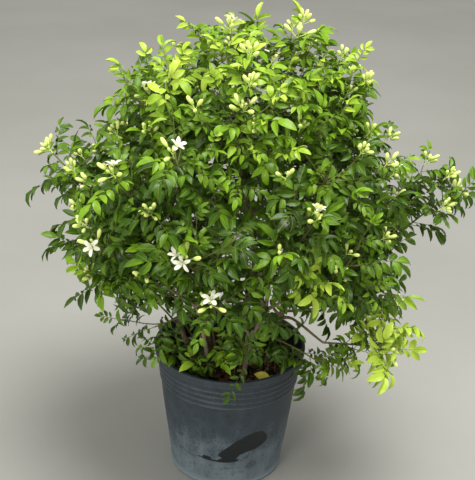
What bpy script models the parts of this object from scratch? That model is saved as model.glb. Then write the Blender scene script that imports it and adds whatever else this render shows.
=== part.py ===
"""A potted orange jasmine: a many-stemmed evergreen shrub in a plastic nursery pot.

The woody stems stand in holes in the potting mix and fork into boughs. Each bough carries
one leafy shoot, whose pinnate leaves are thin arched blades with leaflets cut to the rib,
and some shoots end in a small cluster of white flowers and cream buds.
Units are metres, +Z is up and the origin is the centre of the pot's underside.
"""
import math
import random

import bmesh
import bpy
from mathutils import Matrix, Vector
from mathutils.bvhtree import BVHTree

UP = Vector((0.0, 0.0, 1.0))
GOLDEN_ANGLE = math.pi * (3.0 - math.sqrt(5.0))
GAP = 0.0003                   # clearance between neighbouring pieces
WELD = 0.00001                 # points this close are one
GUARD = 0.0007                 # how much a piece is thickened while it looks for a free place

# Pot
POT_HEIGHT = 0.254
RIM_RADIUS = 0.140             # outside of the lip
BASE_RADIUS = 0.105
WALL = 0.0016
FLOOR = 0.0022
LIP_WIDTH = 0.0045             # how far the lip stands out from the wall
LIP_DEPTH = 0.0125
LIP_ROUND = 0.0014
RIB_COUNT = 4
RIB_FIRST = 0.0250             # first rib below the rim
RIB_PITCH = 0.0116
RIB_HEIGHT = 0.0030
RIB_OUT = 0.0018
FOOT_HEIGHT = 0.010
FOOT_OUT = 0.0015
SEGMENTS = 32                  # facets round the pot and the soil
DRAIN_HOLES = 6
DRAIN_RADIUS = 0.008
DRAIN_REACH = 0.078
DRAIN_SIDES = 10
POT_CREASE = 25                # edges sharper than this many degrees stay crisp

# Potting mix
SOIL_TOP = 0.205
SOIL_RINGS = 3
SOIL_MOUND = 0.006
SOIL_RELIEF = 0.002
SOIL_CREASE = 40
HOLE_DEPTH = 0.035             # how deep the stems stand in the mix
HOLE_SIDES = 8

# Crown: half width by height, the centre that the shoots grow away from, and their lift
CROWN = [(0.26, 0.20), (0.36, 0.30), (0.50, 0.335), (0.61, 0.335), (0.70, 0.275), (0.80, 0.215), (0.88, 0.06)]
CROWN_CENTRE = Vector((0.0, 0.0, 0.42))
LIFT = 0.35
SHOOT_COUNT = 35
FILL_TURN = 0.7548777          # steps of an even sequence of azimuths and heights
FILL_CLIMB = 0.5698403
SHOOT_LENGTH = 0.105
SHOOT_SAG = 0.012              # how much lower a shoot starts than its straight line
TWIG_BOW = 0.003
SHOOT_SPACING = 0.135          # least distance between a filling shoot's tip and any other tip
TWIG_RADIUS = 0.0016
TWIG_RADII = [TWIG_RADIUS, TWIG_RADIUS, TWIG_RADIUS * 0.8]
SEAT_LENGTH = 0.008            # straight end of a bough, where its shoot sits face to face
LEAF_OVERHANG = 0.078          # how far the leaves reach past the shoot's tip
BLOOM_OVERHANG = 0.036
SEED = 11

# Sprays that give the crown its outline and its flowers:
# azimuth in degrees, height, reach, open flowers, buds
SPRAYS = [
    (180, 0.875, 0.020, 1, 3),
    (20, 0.858, 0.105, 0, 4),
    (272, 0.795, 0.190, 0, 4),
    (199, 0.772, 0.165, 1, 2),
    (12, 0.785, 0.208, 0, 0),
    (0, 0.690, 0.255, 0, 0),
    (357, 0.600, 0.400, 0, 4),
    (350, 0.515, 0.330, 0, 0),
    (354, 0.385, 0.325, 0, 0),
    (338, 0.318, 0.328, 0, 4),
    (331, 0.255, 0.265, 0, 0),
    (178, 0.640, 0.345, 0, 4),
    (188, 0.520, 0.325, 0, 0),
    (196, 0.442, 0.290, 0, 0),
    (207, 0.315, 0.230, 0, 0),
    (164, 0.775, 0.205, 0, 0),
    (226, 0.685, 0.290, 1, 3),
    (223, 0.560, 0.320, 1, 2),
    (247, 0.735, 0.260, 1, 2),
    (256, 0.585, 0.315, 2, 2),
    (264, 0.500, 0.305, 1, 2),
    (296, 0.645, 0.300, 1, 2),
    (309, 0.735, 0.270, 0, 0),
    (286, 0.480, 0.290, 0, 0),
    (318, 0.560, 0.320, 0, 0),
    (75, 0.760, 0.235, 1, 3),
    (120, 0.600, 0.325, 1, 2),
]

# Stems: azimuth and reach of the foot, and the radius there. The first is the inner trunk.
STEMS = [
    (0, 0.040, 0.0065),
    (8, 0.072, 0.0050),
    (66, 0.056, 0.0045),
    (130, 0.058, 0.0048),
    (190, 0.070, 0.0052),
    (232, 0.060, 0.0045),
    (298, 0.058, 0.0048),
]
TRUNK_REACH = 0.20             # the trunk carries the sprays within this reach near the top
TRUNK_HEIGHT = 0.72
STEM_LEAN = 5.0                # how much a stem leans out, per metre of its foot's reach
COLLAR = 0.012                 # straight foot of a stem above the mix
LEADER_POINTS = 6
BOUGH_POINTS = 5
LEAVE_REACH = 0.40             # how far a limb keeps its first and its last direction
ARRIVE_REACH = 0.35
LEADER_WANDER = 0.006
BOUGH_WANDER = 0.005
FORK_RADIUS = 0.0030
TIP_RADIUS = 0.0019
BARK_CREASE = 60

# Pinnate leaf: a stalk, pairs of leaflets and one at the end
PETIOLE = 0.018
LEAFLET_PITCH = 0.021
LEAFLET_ROOT = 0.0045          # width of a leaflet where it meets the rib
LEAFLET_LENGTH = 0.046
END_LEAFLET = 0.058
LEAFLET_ANGLE = math.radians(58)
LEAFLET_SLIM = 0.28            # half width of a leaflet as a share of its length
FIRST_SHORTER = 0.16           # each pair nearer the twig is this share shorter
SIDE_DROOP = 0.10              # fall of a leaflet along its length, and the extra past its middle
TIP_DROOP = 0.22
RIB_HALF = 0.0008
BLADE = 0.0008
ARCH = 2.6                     # fall of the rib, per metre of its length squared
FACE_OUT = 1.3                 # how far the blades face out of the crown, against up
LEAFY_SHARES = (0.20, 0.58, 0.96)      # where the leaves sit along a shoot
BLOOMING_SHARES = (0.20, 0.55, 0.88)
LEAF_SPREAD = 0.95             # angle between a leaf and its twig
END_SPREAD = 0.45
SMALL_LEAF = 0                 # which leaf of each shoot, from its root, has one pair of leaflets
LEAF_TRIES = 60
TURN_DRAW = 0.5                # how far the seeded draws turn, spread, size and tilt a leaf
SPREAD_DRAW = 0.2
SIZE_DRAW = 0.08
FACE_DRAW = 0.5
TRY_WIDER = 0.1                # each further try turns more freely and is a little smaller
TRY_SMALLER = 0.004

# Fallen leaflet on the potting mix
FALLEN_PLACE = (0.061, -0.050)
FALLEN_TURN = math.radians(75)
FALLEN_LENGTH = 0.032
FALLEN_HALF = 0.0075
FALLEN_CUP = 0.004             # how far its edges curl up
FALLEN_STEP = 0.0002

# Flower cluster
STALK_LENGTH = 0.008
STALK_RADIUS = 0.0012
FLOWER_LEAN = 0.55             # how far a flower and a bud lean from the stalk
BUD_LEAN = 0.95
LEAN_DRAW = 0.12
PEDICEL_LENGTH = 0.013
PEDICEL_RADIUS = 0.0008
PETALS = 5
PETAL_LENGTH = 0.016
PETAL_WAIST = 0.0088           # where a petal is widest and highest, from the flower's axis
PETAL_HALF = 0.0030
PETAL_RISE = 0.0080
PETAL_CURL = 0.0032
PETAL_THICKNESS = 0.0007
THROAT_RADIUS = 0.0020
THROAT_RISE = 0.0035
BUD_LENGTH = 0.014
BUD_RADIUS = 0.0026

# sRGB colour, roughness
FINISHES = {
    "pot_polyethylene": ((68, 77, 80), 0.55),
    "potting_mix": ((62, 48, 36), 0.95),
    "bark": ((128, 112, 90), 0.85),
    "leaf": ((78, 112, 38), 0.38),
    "petal": ((240, 238, 214), 0.5),
    "fallen_leaf": ((196, 178, 66), 0.6),
}


def clear_scene():
    for item in list(bpy.data.objects):
        bpy.data.objects.remove(item, do_unlink=True)


def new_collection(name):
    group = bpy.data.collections.new(name)
    bpy.context.scene.collection.children.link(group)
    return group


def to_linear(channel):
    share = channel / 255.0
    if share <= 0.04045:
        return share / 12.92
    return ((share + 0.055) / 1.055) ** 2.4


def make_material(name):
    colour, roughness = FINISHES[name]
    material = bpy.data.materials.new(name)
    material.use_nodes = True
    shader = material.node_tree.nodes["Principled BSDF"]
    shader.inputs["Base Color"].default_value = [to_linear(c) for c in colour] + [1.0]
    shader.inputs["Roughness"].default_value = roughness
    shader.inputs["Metallic"].default_value = 0.0
    material.diffuse_color = shader.inputs["Base Color"].default_value
    return material


def mesh_from(bm, name):
    mesh = bpy.data.meshes.new(name)
    bm.to_mesh(mesh)
    bm.free()
    return mesh


def dress(item, material):
    item.data.materials.clear()
    item.data.materials.append(material)


def add_object(name, mesh, group, material=None, place=None):
    item = bpy.data.objects.new(name, mesh)
    group.objects.link(item)
    if material is not None:
        dress(item, material)
    if place is not None:
        item.matrix_world = place
    return item


def evaluated_mesh(item):
    """The mesh that an object's modifiers or curve settings give, in its own frame."""
    bpy.context.view_layer.update()
    depsgraph = bpy.context.evaluated_depsgraph_get()
    return bpy.data.meshes.new_from_object(item.evaluated_get(depsgraph))


def apply_modifiers(item):
    mesh = evaluated_mesh(item)
    item.modifiers.clear()
    item.data = mesh


def frame_at(origin, along, up_hint):
    """A frame whose Y axis runs along a direction and whose Z axis leans to the hint."""
    y_axis = along.normalized()
    x_axis = y_axis.cross(up_hint).normalized()
    z_axis = x_axis.cross(y_axis)
    turn = Matrix((x_axis, y_axis, z_axis)).transposed()
    return Matrix.Translation(origin) @ turn.to_4x4()


def polar(azimuth, reach, height):
    return Vector((reach * math.cos(azimuth), reach * math.sin(azimuth), height))


def tube(name, points, radii, detail, group, material=None):
    """A tube through the points as a closed mesh. Detail 0 gives 4 sides and 1 gives 6."""
    data = bpy.data.curves.new(name, "CURVE")
    data.dimensions = "3D"
    data.bevel_depth = radii[0]
    data.bevel_resolution = detail
    data.use_fill_caps = True
    spline = data.splines.new("POLY")
    spline.points.add(len(points) - 1)
    for knot, point, radius in zip(spline.points, points, radii):
        knot.co = (point.x, point.y, point.z, 1.0)
        knot.radius = radius / radii[0]
    curve = bpy.data.objects.new(name, data)
    group.objects.link(curve)
    mesh = evaluated_mesh(curve)
    place = curve.matrix_world.copy()
    bpy.data.objects.remove(curve, do_unlink=True)
    weld(mesh)
    return add_object(name, mesh, group, material, place)


def thickened(mesh, thickness):
    """A thin open surface made solid, half to each side."""
    item = add_object(mesh.name, mesh, bpy.context.scene.collection)
    shell = item.modifiers.new("thickness", "SOLIDIFY")
    shell.thickness = thickness
    shell.offset = 0.0
    solid = evaluated_mesh(item)
    bpy.data.objects.remove(item, do_unlink=True)
    weld(solid)
    return solid


def weld(mesh):
    bm = bmesh.new()
    bm.from_mesh(mesh)
    bmesh.ops.remove_doubles(bm, verts=bm.verts, dist=WELD)
    bmesh.ops.recalc_face_normals(bm, faces=bm.faces)
    bm.to_mesh(mesh)
    bm.free()


def fuse(item, pieces_group, operation="UNION"):
    """Join a collection's pieces to an object, or cut them out, and remove the pieces."""
    boolean = item.modifiers.new("join", "BOOLEAN")
    boolean.operand_type = "COLLECTION"
    boolean.collection = pieces_group
    boolean.operation = operation
    boolean.solver = "EXACT"
    apply_modifiers(item)
    for piece in list(pieces_group.objects):
        bpy.data.objects.remove(piece, do_unlink=True)
    bpy.data.collections.remove(pieces_group)


def drill(item, name, places, cutters, sides, depth):
    """Cut upright round holes, each given by its centre and radius."""
    holes = bpy.data.collections.new(name)
    cutters.children.link(holes)
    for centre, radius in places:
        bm = bmesh.new()
        bmesh.ops.create_cone(bm, cap_ends=True, segments=sides, radius1=radius, radius2=radius, depth=depth)
        cutter = add_object(name, mesh_from(bm, name), holes, place=Matrix.Translation(centre))
        cutter.display_type = "WIRE"
        cutter.hide_render = True
    fuse(item, holes, "DIFFERENCE")


def smooth(item, degrees):
    item.data.shade_smooth()
    item.data.set_sharp_from_angle(angle=math.radians(degrees))


class FreeSpace:
    """The surfaces built so far, by node, so that a new piece can be kept clear of them."""

    def __init__(self):
        self.trees = []

    def add(self, owner, item, place=None):
        self.trees.append((owner, self.tree(item.data, place or item.matrix_world)))

    def clear(self, owner, mesh, place):
        probe = self.tree(mesh, place)
        return not any(name != owner and tree.overlap(probe) for name, tree in self.trees)

    @staticmethod
    def tree(mesh, place):
        points = [place @ vertex.co for vertex in mesh.vertices]
        faces = [tuple(face.vertices) for face in mesh.polygons]
        return BVHTree.FromPolygons(points, faces)


def wall_radius(height):
    """Outside radius of the pot's plain wall."""
    return BASE_RADIUS + (RIM_RADIUS - LIP_WIDTH - BASE_RADIUS) * height / POT_HEIGHT


def turned(name, profile, group, material):
    """A solid turned round Z from a profile in the XZ plane, outer side first, top to bottom."""
    bm = bmesh.new()
    points = [bm.verts.new((radius, 0.0, height)) for radius, height in profile]
    for first, second in zip(points, points[1:]):
        bm.edges.new((first, second))
    item = add_object(name, mesh_from(bm, name), group)
    screw = item.modifiers.new("turn", "SCREW")
    screw.steps = SEGMENTS
    screw.render_steps = SEGMENTS
    screw.use_merge_vertices = True
    screw.merge_threshold = WELD
    apply_modifiers(item)
    weld(item.data)
    dress(item, material)
    return item


def pot_profile():
    """The pot's section: lip, ribs, wall and foot outside, then the floor and the inner wall."""
    lip_bottom = POT_HEIGHT - LIP_DEPTH
    profile = [
        (RIM_RADIUS - LIP_ROUND, POT_HEIGHT),
        (RIM_RADIUS, POT_HEIGHT - LIP_ROUND),
        (RIM_RADIUS - LIP_ROUND / 2, lip_bottom),
        (wall_radius(lip_bottom), lip_bottom - LIP_ROUND),
    ]
    for rib in range(RIB_COUNT):
        top = POT_HEIGHT - RIB_FIRST - rib * RIB_PITCH
        bottom = top - RIB_HEIGHT
        profile.append((wall_radius(top), top))
        profile.append((wall_radius(bottom) + RIB_OUT, bottom))
    profile.append((wall_radius(FOOT_HEIGHT), FOOT_HEIGHT))
    profile.append((wall_radius(FOOT_HEIGHT) + FOOT_OUT, FOOT_HEIGHT - FOOT_OUT))
    profile.append((BASE_RADIUS, 0.0))
    profile.append((0.0, 0.0))
    profile.append((0.0, FLOOR))
    profile.append((wall_radius(FLOOR) - WALL, FLOOR))
    profile.append((wall_radius(POT_HEIGHT) - WALL, POT_HEIGHT))
    profile.append(profile[0])
    return profile


def build_pot(group, cutters, material):
    pot = turned("pot", pot_profile(), group, material)
    holes = []
    for index in range(DRAIN_HOLES):
        azimuth = math.tau * (index + 0.5) / DRAIN_HOLES
        holes.append((polar(azimuth, DRAIN_REACH, FLOOR / 2), DRAIN_RADIUS))
    drill(pot, "drain_cutter", holes, cutters, DRAIN_SIDES, 4 * FLOOR)
    smooth(pot, POT_CREASE)
    return pot


def inner_radius(height):
    """Radius of the mix where it fills the pot, clear of the wall."""
    return wall_radius(height) - WALL - GAP


def soil_height(x, y):
    """The uneven top of the potting mix, a little higher in the middle and level at the wall."""
    fade = max(0.0, 1.0 - math.hypot(x, y) / inner_radius(SOIL_TOP))
    lumps = math.sin(61 * x + 1.3) * math.cos(73 * y) + 0.6 * math.sin(140 * x - 90 * y)
    return SOIL_TOP + (SOIL_MOUND + SOIL_RELIEF * lumps) * fade


def build_soil(group, cutters, material, feet):
    """The potting mix, filling the pot from its floor up, with a blind hole for each stem."""
    rim = inner_radius(SOIL_TOP)
    floor = FLOOR + GAP
    profile = [(rim, SOIL_TOP), (inner_radius(floor), floor), (0.0, floor), (0.0, SOIL_TOP)]
    for ring in range(1, SOIL_RINGS + 1):
        profile.append((rim * ring / SOIL_RINGS, SOIL_TOP))
    soil = turned("soil", profile, group, material)
    for vertex in soil.data.vertices:
        if vertex.co.z > SOIL_TOP - GAP:
            vertex.co.z = soil_height(vertex.co.x, vertex.co.y)
    half_depth = HOLE_DEPTH + SOIL_MOUND
    bottom = SOIL_TOP - HOLE_DEPTH - GAP
    to_corner = 1.0 / math.cos(math.pi / HOLE_SIDES)
    holes = [(foot + UP * (bottom + half_depth), (radius + GAP) * to_corner) for foot, radius in feet]
    drill(soil, "stem_hole_cutter", holes, cutters, HOLE_SIDES, 2 * half_depth)
    smooth(soil, SOIL_CREASE)
    return soil


def crown_reach(height):
    """Half width of the crown at a height, between the heights that CROWN gives."""
    for (low, low_reach), (high, high_reach) in zip(CROWN, CROWN[1:]):
        if low <= height <= high:
            return low_reach + (high_reach - low_reach) * (height - low) / (high - low)
    return CROWN[0][1]


def spray_tips():
    """Tips of all shoots: the chosen sprays, then an even filling of what they leave open."""
    tips = []
    for azimuth, height, reach, flowers, buds in SPRAYS:
        outer = polar(math.radians(azimuth), reach, height)
        overhang = BLOOM_OVERHANG if flowers + buds else LEAF_OVERHANG
        tips.append((outer - growth(outer) * overhang, flowers, buds))
    step = 0
    lowest = CROWN[0][0]
    tallest = CROWN[-1][0]
    while len(tips) < SHOOT_COUNT:
        step += 1
        height = lowest + (tallest - lowest) * (step * FILL_CLIMB % 1.0)
        azimuth = math.tau * (step * FILL_TURN % 1.0)
        outer = polar(azimuth, crown_reach(height), height)
        tip = outer - growth(outer) * LEAF_OVERHANG
        if all((tip - other).length > SHOOT_SPACING for other, _, _ in tips):
            tips.append((tip, 0, 0))
    return tips


def growth(tip):
    """The direction in which a crown point grows: away from the crown's centre and a little up."""
    return ((tip - CROWN_CENTRE).normalized() + UP * LIFT).normalized()


def bezier(start, handle, far_handle, end, count):
    points = []
    for index in range(count):
        t = index / (count - 1)
        s = 1.0 - t
        points.append(start * s ** 3 + handle * (3 * s * s * t) + far_handle * (3 * s * t * t) + end * t ** 3)
    return points


def limb(start, start_way, end, end_way, count, rng, wander):
    """A limb that leaves one way, wanders a little, and ends in a straight seat for its shoot."""
    span = (end - start).length
    near = start + start_way * span * LEAVE_REACH
    far = end - end_way * span * ARRIVE_REACH
    points = bezier(start, near, far, end, count)
    for point in points[1:-2]:
        point += Vector([rng.uniform(-wander, wander) for _ in range(3)])
    points[-2] = end - end_way * SEAT_LENGTH
    return points


def assign_tips(tips):
    """Share the shoots among the stems: the top ones on the trunk, the rest by azimuth."""
    groups = [[] for _ in STEMS]
    for index, (tip, _, _) in enumerate(tips):
        if math.hypot(tip.x, tip.y) < TRUNK_REACH and tip.z > TRUNK_HEIGHT:
            groups[0].append(index)
            continue
        azimuth = math.atan2(tip.y, tip.x)
        turns = [abs((azimuth - math.radians(stem[0]) + math.pi) % math.tau - math.pi) for stem in STEMS[1:]]
        groups[1 + turns.index(min(turns))].append(index)
    return groups


def shoot_root(tip):
    """Where a shoot sits on its bough."""
    return tip - growth(tip) * SHOOT_LENGTH - UP * SHOOT_SAG


def shoot_way(tip):
    return (tip - shoot_root(tip)).normalized()


def best_joint(leader, root):
    """The leader's point that a bough leaves from: near, and low enough for it to climb."""
    costs = []
    for joint in leader[1:-2]:
        flat = math.hypot(root.x - joint.x, root.y - joint.y)
        steepness = max(0.0, 0.5 * flat - (root.z - joint.z))
        costs.append((root - joint).length + 2.0 * steepness)
    return 1 + costs.index(min(costs))


def tapered(first, last, count):
    return [first + (last - first) * index / (count - 1) for index in range(count)]


def stem_paths(number, foot, radius, tips):
    """The leader and the boughs of one stem, as lists of points with their radii."""
    rng = random.Random(SEED * 100 + number)
    head, *others = sorted(tips, key=lambda tip: -tip.z)
    base = Vector((foot.x, foot.y, SOIL_TOP - HOLE_DEPTH))
    collar = Vector((foot.x, foot.y, SOIL_TOP + COLLAR))
    way = (UP + Vector((foot.x, foot.y, 0.0)) * STEM_LEAN).normalized()
    leader = limb(collar, way, shoot_root(head), shoot_way(head), LEADER_POINTS, rng, LEADER_WANDER)
    radii = tapered(radius, TIP_RADIUS, LEADER_POINTS)
    paths = [([base] + leader, [radius] + radii)]
    for tip in others:
        root = shoot_root(tip)
        best = best_joint(leader, root)
        joint = leader[best]
        along = (leader[best + 1] - leader[best - 1]).normalized()
        leave = (along + (root - joint).normalized()).normalized()
        bough = limb(joint, leave, root, shoot_way(tip), BOUGH_POINTS, rng, BOUGH_WANDER)
        paths.append((bough, tapered(min(FORK_RADIUS, 0.8 * radii[best]), TIP_RADIUS, BOUGH_POINTS)))
    return paths


def build_stem(number, foot, radius, tips, group, material, space):
    """One woody stem, from its hole in the mix to the seats of its shoots."""
    name = f"stem_{number + 1}"
    (points, radii), *boughs = stem_paths(number, foot, radius, tips)
    stem = tube(name, points, radii, 1, group, material)
    pieces = new_collection(name + "_boughs")
    for path, sizes in boughs:
        tube(name + "_bough", path, sizes, 0, pieces)
    fuse(stem, pieces)
    dress(stem, material)
    smooth(stem, BARK_CREASE)
    space.add(name, stem)


def twig_points(root, tip):
    way = (tip - root).normalized()
    start = root + way * GAP
    middle = (root + tip) / 2 + UP * TWIG_BOW
    return [start, middle, tip]


def blade_outline(bm, pairs, wide):
    """A pinnate leaf as an open blade: a rib strip with leaflets on both sides and one at the end."""
    half = RIB_HALF + wide
    stations = [0.0]
    for pair in range(pairs):
        near = PETIOLE + pair * LEAFLET_PITCH
        stations += [near - wide, near + LEAFLET_ROOT + wide]

    def fall(y):
        return -ARCH * y * y

    left = [bm.verts.new((-half, y, fall(y))) for y in stations]
    right = [bm.verts.new((half, y, fall(y))) for y in stations]
    for index in range(len(stations) - 1):
        bm.faces.new((left[index], right[index], right[index + 1]))
        bm.faces.new((left[index], right[index + 1], left[index + 1]))
    for pair in range(pairs):
        length = LEAFLET_LENGTH * (1.0 - FIRST_SHORTER * (pairs - 1 - pair))
        belly = length * LEAFLET_SLIM + wide
        near = 1 + 2 * pair
        middle = (stations[near] + stations[near + 1]) / 2
        for side, edge in ((-1, left), (1, right)):
            along = Vector((side * math.sin(LEAFLET_ANGLE), math.cos(LEAFLET_ANGLE)))
            across = Vector((-side * along.y, side * along.x))
            foot = Vector((side * half, middle))
            spots = []
            for part, shift in ((0.42, -belly), (1.0, 0.0), (0.50, belly)):
                spot = foot + along * (length + wide) * part + across * shift
                droop = length * (SIDE_DROOP * part + TIP_DROOP * max(0.0, part - 0.45))
                spots.append(bm.verts.new((spot.x, spot.y, fall(middle) - droop)))
            inner, tip, outer = spots
            bm.faces.new((edge[near], inner, outer))
            bm.faces.new((edge[near], outer, edge[near + 1]))
            bm.faces.new((inner, tip, outer))
    foot = stations[-1]
    belly = END_LEAFLET * LEAFLET_SLIM + wide
    middle = foot + END_LEAFLET * 0.45
    wings = [bm.verts.new((side * belly, middle, fall(middle))) for side in (-1, 1)]
    end = foot + END_LEAFLET + wide
    tip = bm.verts.new((0.0, end, fall(end)))
    bm.faces.new((left[-1], right[-1], wings[1]))
    bm.faces.new((left[-1], wings[1], wings[0]))
    bm.faces.new((wings[0], wings[1], tip))


def blade_mesh(name, pairs, thickness, wide):
    bm = bmesh.new()
    blade_outline(bm, pairs, wide)
    bmesh.ops.recalc_face_normals(bm, faces=bm.faces)
    return thickened(mesh_from(bm, name), thickness)


def leaf_frame(point, way, out, azimuth, spread, tilt):
    """A leaf's frame on a twig: turned round it, spread from it, its face to the light."""
    side = way.cross(UP).normalized()
    over = side.cross(way)
    around = side * math.cos(azimuth) + over * math.sin(azimuth)
    along = way * math.cos(spread) + around * math.sin(spread)
    face = (out * FACE_OUT + UP + side * tilt).normalized()
    return frame_at(point, along, face)


def along_twig(points, share):
    """A point part of the way along a twig of two stretches."""
    if share < 0.5:
        return points[0].lerp(points[1], 2 * share)
    return points[1].lerp(points[2], 2 * share - 1)


def leaf_place(leaf, tip, blooming, turn, attempt, rng):
    """Where one leaf of a shoot would stand at this attempt, from seeded draws."""
    root = shoot_root(tip)
    shares = BLOOMING_SHARES if blooming else LEAFY_SHARES
    at_end = leaf == len(shares) - 1 and not blooming
    spread = (END_SPREAD if at_end else LEAF_SPREAD) + rng.uniform(-SPREAD_DRAW, SPREAD_DRAW)
    azimuth = turn + leaf * GOLDEN_ANGLE + rng.uniform(-TURN_DRAW, TURN_DRAW) * (1 + TRY_WIDER * attempt)
    size = 1.0 + rng.uniform(-SIZE_DRAW, SIZE_DRAW) - TRY_SMALLER * attempt
    out = (tip - CROWN_CENTRE).normalized()
    point = along_twig(twig_points(root, tip), shares[leaf])
    place = leaf_frame(point, shoot_way(tip), out, azimuth, spread, rng.uniform(-FACE_DRAW, FACE_DRAW))
    return place @ Matrix.Scale(size, 4)


def build_shoot(number, tip, blooming, blades, group, material, space):
    """A green twig with its leaves, each in the first free place that its seeded draws find."""
    name = f"shoot_{number + 1:02d}"
    rng = random.Random(SEED * 1000 + number)
    twig = tube(name, twig_points(shoot_root(tip), tip), TWIG_RADII, 0, group, material)
    pieces = new_collection(name + "_leaves")
    turn = rng.uniform(0.0, math.tau)
    own = FreeSpace()
    for leaf in range(len(LEAFY_SHARES)):
        solid, guard = blades[1 if leaf == SMALL_LEAF else 2]
        for attempt in range(LEAF_TRIES):
            place = leaf_place(leaf, tip, blooming, turn, attempt, rng)
            if space.clear(name, guard, place) and own.clear("", guard, place):
                piece = add_object(name + "_leaf", solid.copy(), pieces, place=place)
                own.add(name, piece, place)
                space.add(name, piece, place)
                break
    fuse(twig, pieces)
    dress(twig, material)


def build_fallen_leaf(group, material, space):
    """A yellowed leaflet lowered on to the potting mix until it all but touches."""
    bm = bmesh.new()
    rim = []
    for part, share in ((0.0, 0.0), (0.3, 1.0), (0.6, 0.9), (1.0, 0.0), (0.6, -0.9), (0.3, -1.0)):
        lift = FALLEN_CUP * abs(share)
        rim.append(bm.verts.new((FALLEN_HALF * share, FALLEN_LENGTH * (part - 0.5), lift)))
    for face in ((0, 1, 5), (1, 2, 5), (2, 4, 5), (2, 3, 4)):
        bm.faces.new([rim[index] for index in face])
    solid = thickened(mesh_from(bm, "fallen_leaf"), BLADE)
    height = SOIL_TOP + 2 * SOIL_MOUND
    turn = Matrix.Rotation(FALLEN_TURN, 4, "Z")
    while space.clear("fallen_leaf", solid, Matrix.Translation((*FALLEN_PLACE, height)) @ turn):
        height -= FALLEN_STEP
    place = Matrix.Translation((*FALLEN_PLACE, height + FALLEN_STEP + GAP)) @ turn
    fallen = add_object("fallen_leaf", solid, group, material, place)
    space.add("fallen_leaf", fallen, place)


def corolla_mesh():
    """Five narrow petals that curl back, cut to the throat of one thin funnel."""
    bm = bmesh.new()
    throat = bm.verts.new((0.0, 0.0, 0.0))
    bays = []
    for petal in range(PETALS):
        azimuth = math.tau * (petal + 0.5) / PETALS
        bays.append(bm.verts.new(polar(azimuth, THROAT_RADIUS, THROAT_RISE)))
    for petal in range(PETALS):
        azimuth = math.tau * petal / PETALS
        sides = [bays[petal - 1], bays[petal]]
        bm.faces.new((throat, sides[0], sides[1]))
        spread = math.atan2(PETAL_HALF, PETAL_WAIST)
        wings = [bm.verts.new(polar(azimuth + side * spread, PETAL_WAIST, PETAL_RISE)) for side in (-1, 1)]
        tip = bm.verts.new(polar(azimuth, PETAL_LENGTH, PETAL_RISE - PETAL_CURL))
        bm.faces.new((sides[0], wings[0], wings[1]))
        bm.faces.new((sides[0], wings[1], sides[1]))
        bm.faces.new((wings[0], tip, wings[1]))
    bmesh.ops.recalc_face_normals(bm, faces=bm.faces)
    return thickened(mesh_from(bm, "corolla"), PETAL_THICKNESS)


def facing(origin, way):
    """A frame whose Z axis points one way."""
    hint = UP if abs(way.z) < 0.9 else Vector((1.0, 0.0, 0.0))
    x_axis = hint.cross(way).normalized()
    y_axis = way.cross(x_axis)
    turn = Matrix((x_axis, y_axis, way)).transposed()
    return Matrix.Translation(origin) @ turn.to_4x4()


def build_blossom(number, tip, flowers, buds, corolla, group, material, space):
    """A flower cluster on a short stalk: open flowers and long buds, each on its pedicel."""
    name = f"blossom_{number + 1:02d}"
    rng = random.Random(SEED * 5000 + number)
    way = shoot_way(tip)
    root = tip + way * GAP
    knee = root + way * STALK_LENGTH
    stalk = tube(name, [root, knee], [STALK_RADIUS, STALK_RADIUS], 0, group, material)
    pieces = new_collection(name + "_pieces")
    total = flowers + buds
    frame = facing(knee, way).to_3x3()
    turn = rng.uniform(0.0, math.tau)
    for index in range(total):
        lean = (FLOWER_LEAN if index < flowers else BUD_LEAN) + rng.uniform(-LEAN_DRAW, LEAN_DRAW)
        out = frame @ polar(turn + math.tau * index / total, math.sin(lean), math.cos(lean))
        start = root.lerp(knee, 0.95 - 0.5 * index / total)
        end = start + out * PEDICEL_LENGTH * rng.uniform(0.9, 1.2)
        if index < flowers:
            tube(name + "_pedicel", [start, end + out * PETAL_THICKNESS], [PEDICEL_RADIUS] * 2, 0, pieces)
            add_object(name + "_corolla", corolla.copy(), pieces, place=facing(end, out))
        else:
            knots = [start] + [end + out * BUD_LENGTH * part for part in (0.0, 0.6, 1.0)]
            sizes = [PEDICEL_RADIUS] + [BUD_RADIUS * share for share in (0.5, 1.0, 0.25)]
            tube(name + "_bud", knots, sizes, 0, pieces)
    fuse(stalk, pieces)
    dress(stalk, material)
    space.add(name, stalk)


def reserve_twigs(tips, scratch, space):
    """Keep the twigs' own places free, so that no other shoot's leaf crosses one."""
    for number, (tip, _, _) in enumerate(tips):
        twig = tube("twig", twig_points(shoot_root(tip), tip), TWIG_RADII, 0, scratch)
        space.add(f"shoot_{number + 1:02d}", twig, twig.matrix_world)
        bpy.data.objects.remove(twig, do_unlink=True)


def main():
    clear_scene()
    group = new_collection("potted_orange_jasmine")
    cutters = new_collection("cutters")
    materials = {name: make_material(name) for name in FINISHES}
    space = FreeSpace()
    space.add("pot", build_pot(group, cutters, materials["pot_polyethylene"]))
    feet = [(polar(math.radians(azimuth), reach, 0.0), radius) for azimuth, reach, radius in STEMS]
    space.add("soil", build_soil(group, cutters, materials["potting_mix"], feet))
    tips = spray_tips()
    for number, members in enumerate(assign_tips(tips)):
        own = [tips[index][0] for index in members]
        build_stem(number, *feet[number], own, group, materials["bark"], space)
    build_fallen_leaf(group, materials["fallen_leaf"], space)
    corolla = corolla_mesh()
    blooming = [spray for spray in tips if spray[1] + spray[2] > 0]
    for number, spray in enumerate(blooming):
        build_blossom(number, *spray, corolla, group, materials["petal"], space)
    reserve_twigs(tips, cutters, space)
    blades = {}
    for pairs in (1, 2):
        blades[pairs] = (blade_mesh("leaf_blade", pairs, BLADE, 0.0),
                         blade_mesh("leaf_guard", pairs, BLADE + 2 * GUARD, GUARD))
    for number, (tip, flowers, buds) in enumerate(tips):
        build_shoot(number, tip, flowers + buds > 0, blades, group, materials["leaf"], space)


main()
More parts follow.
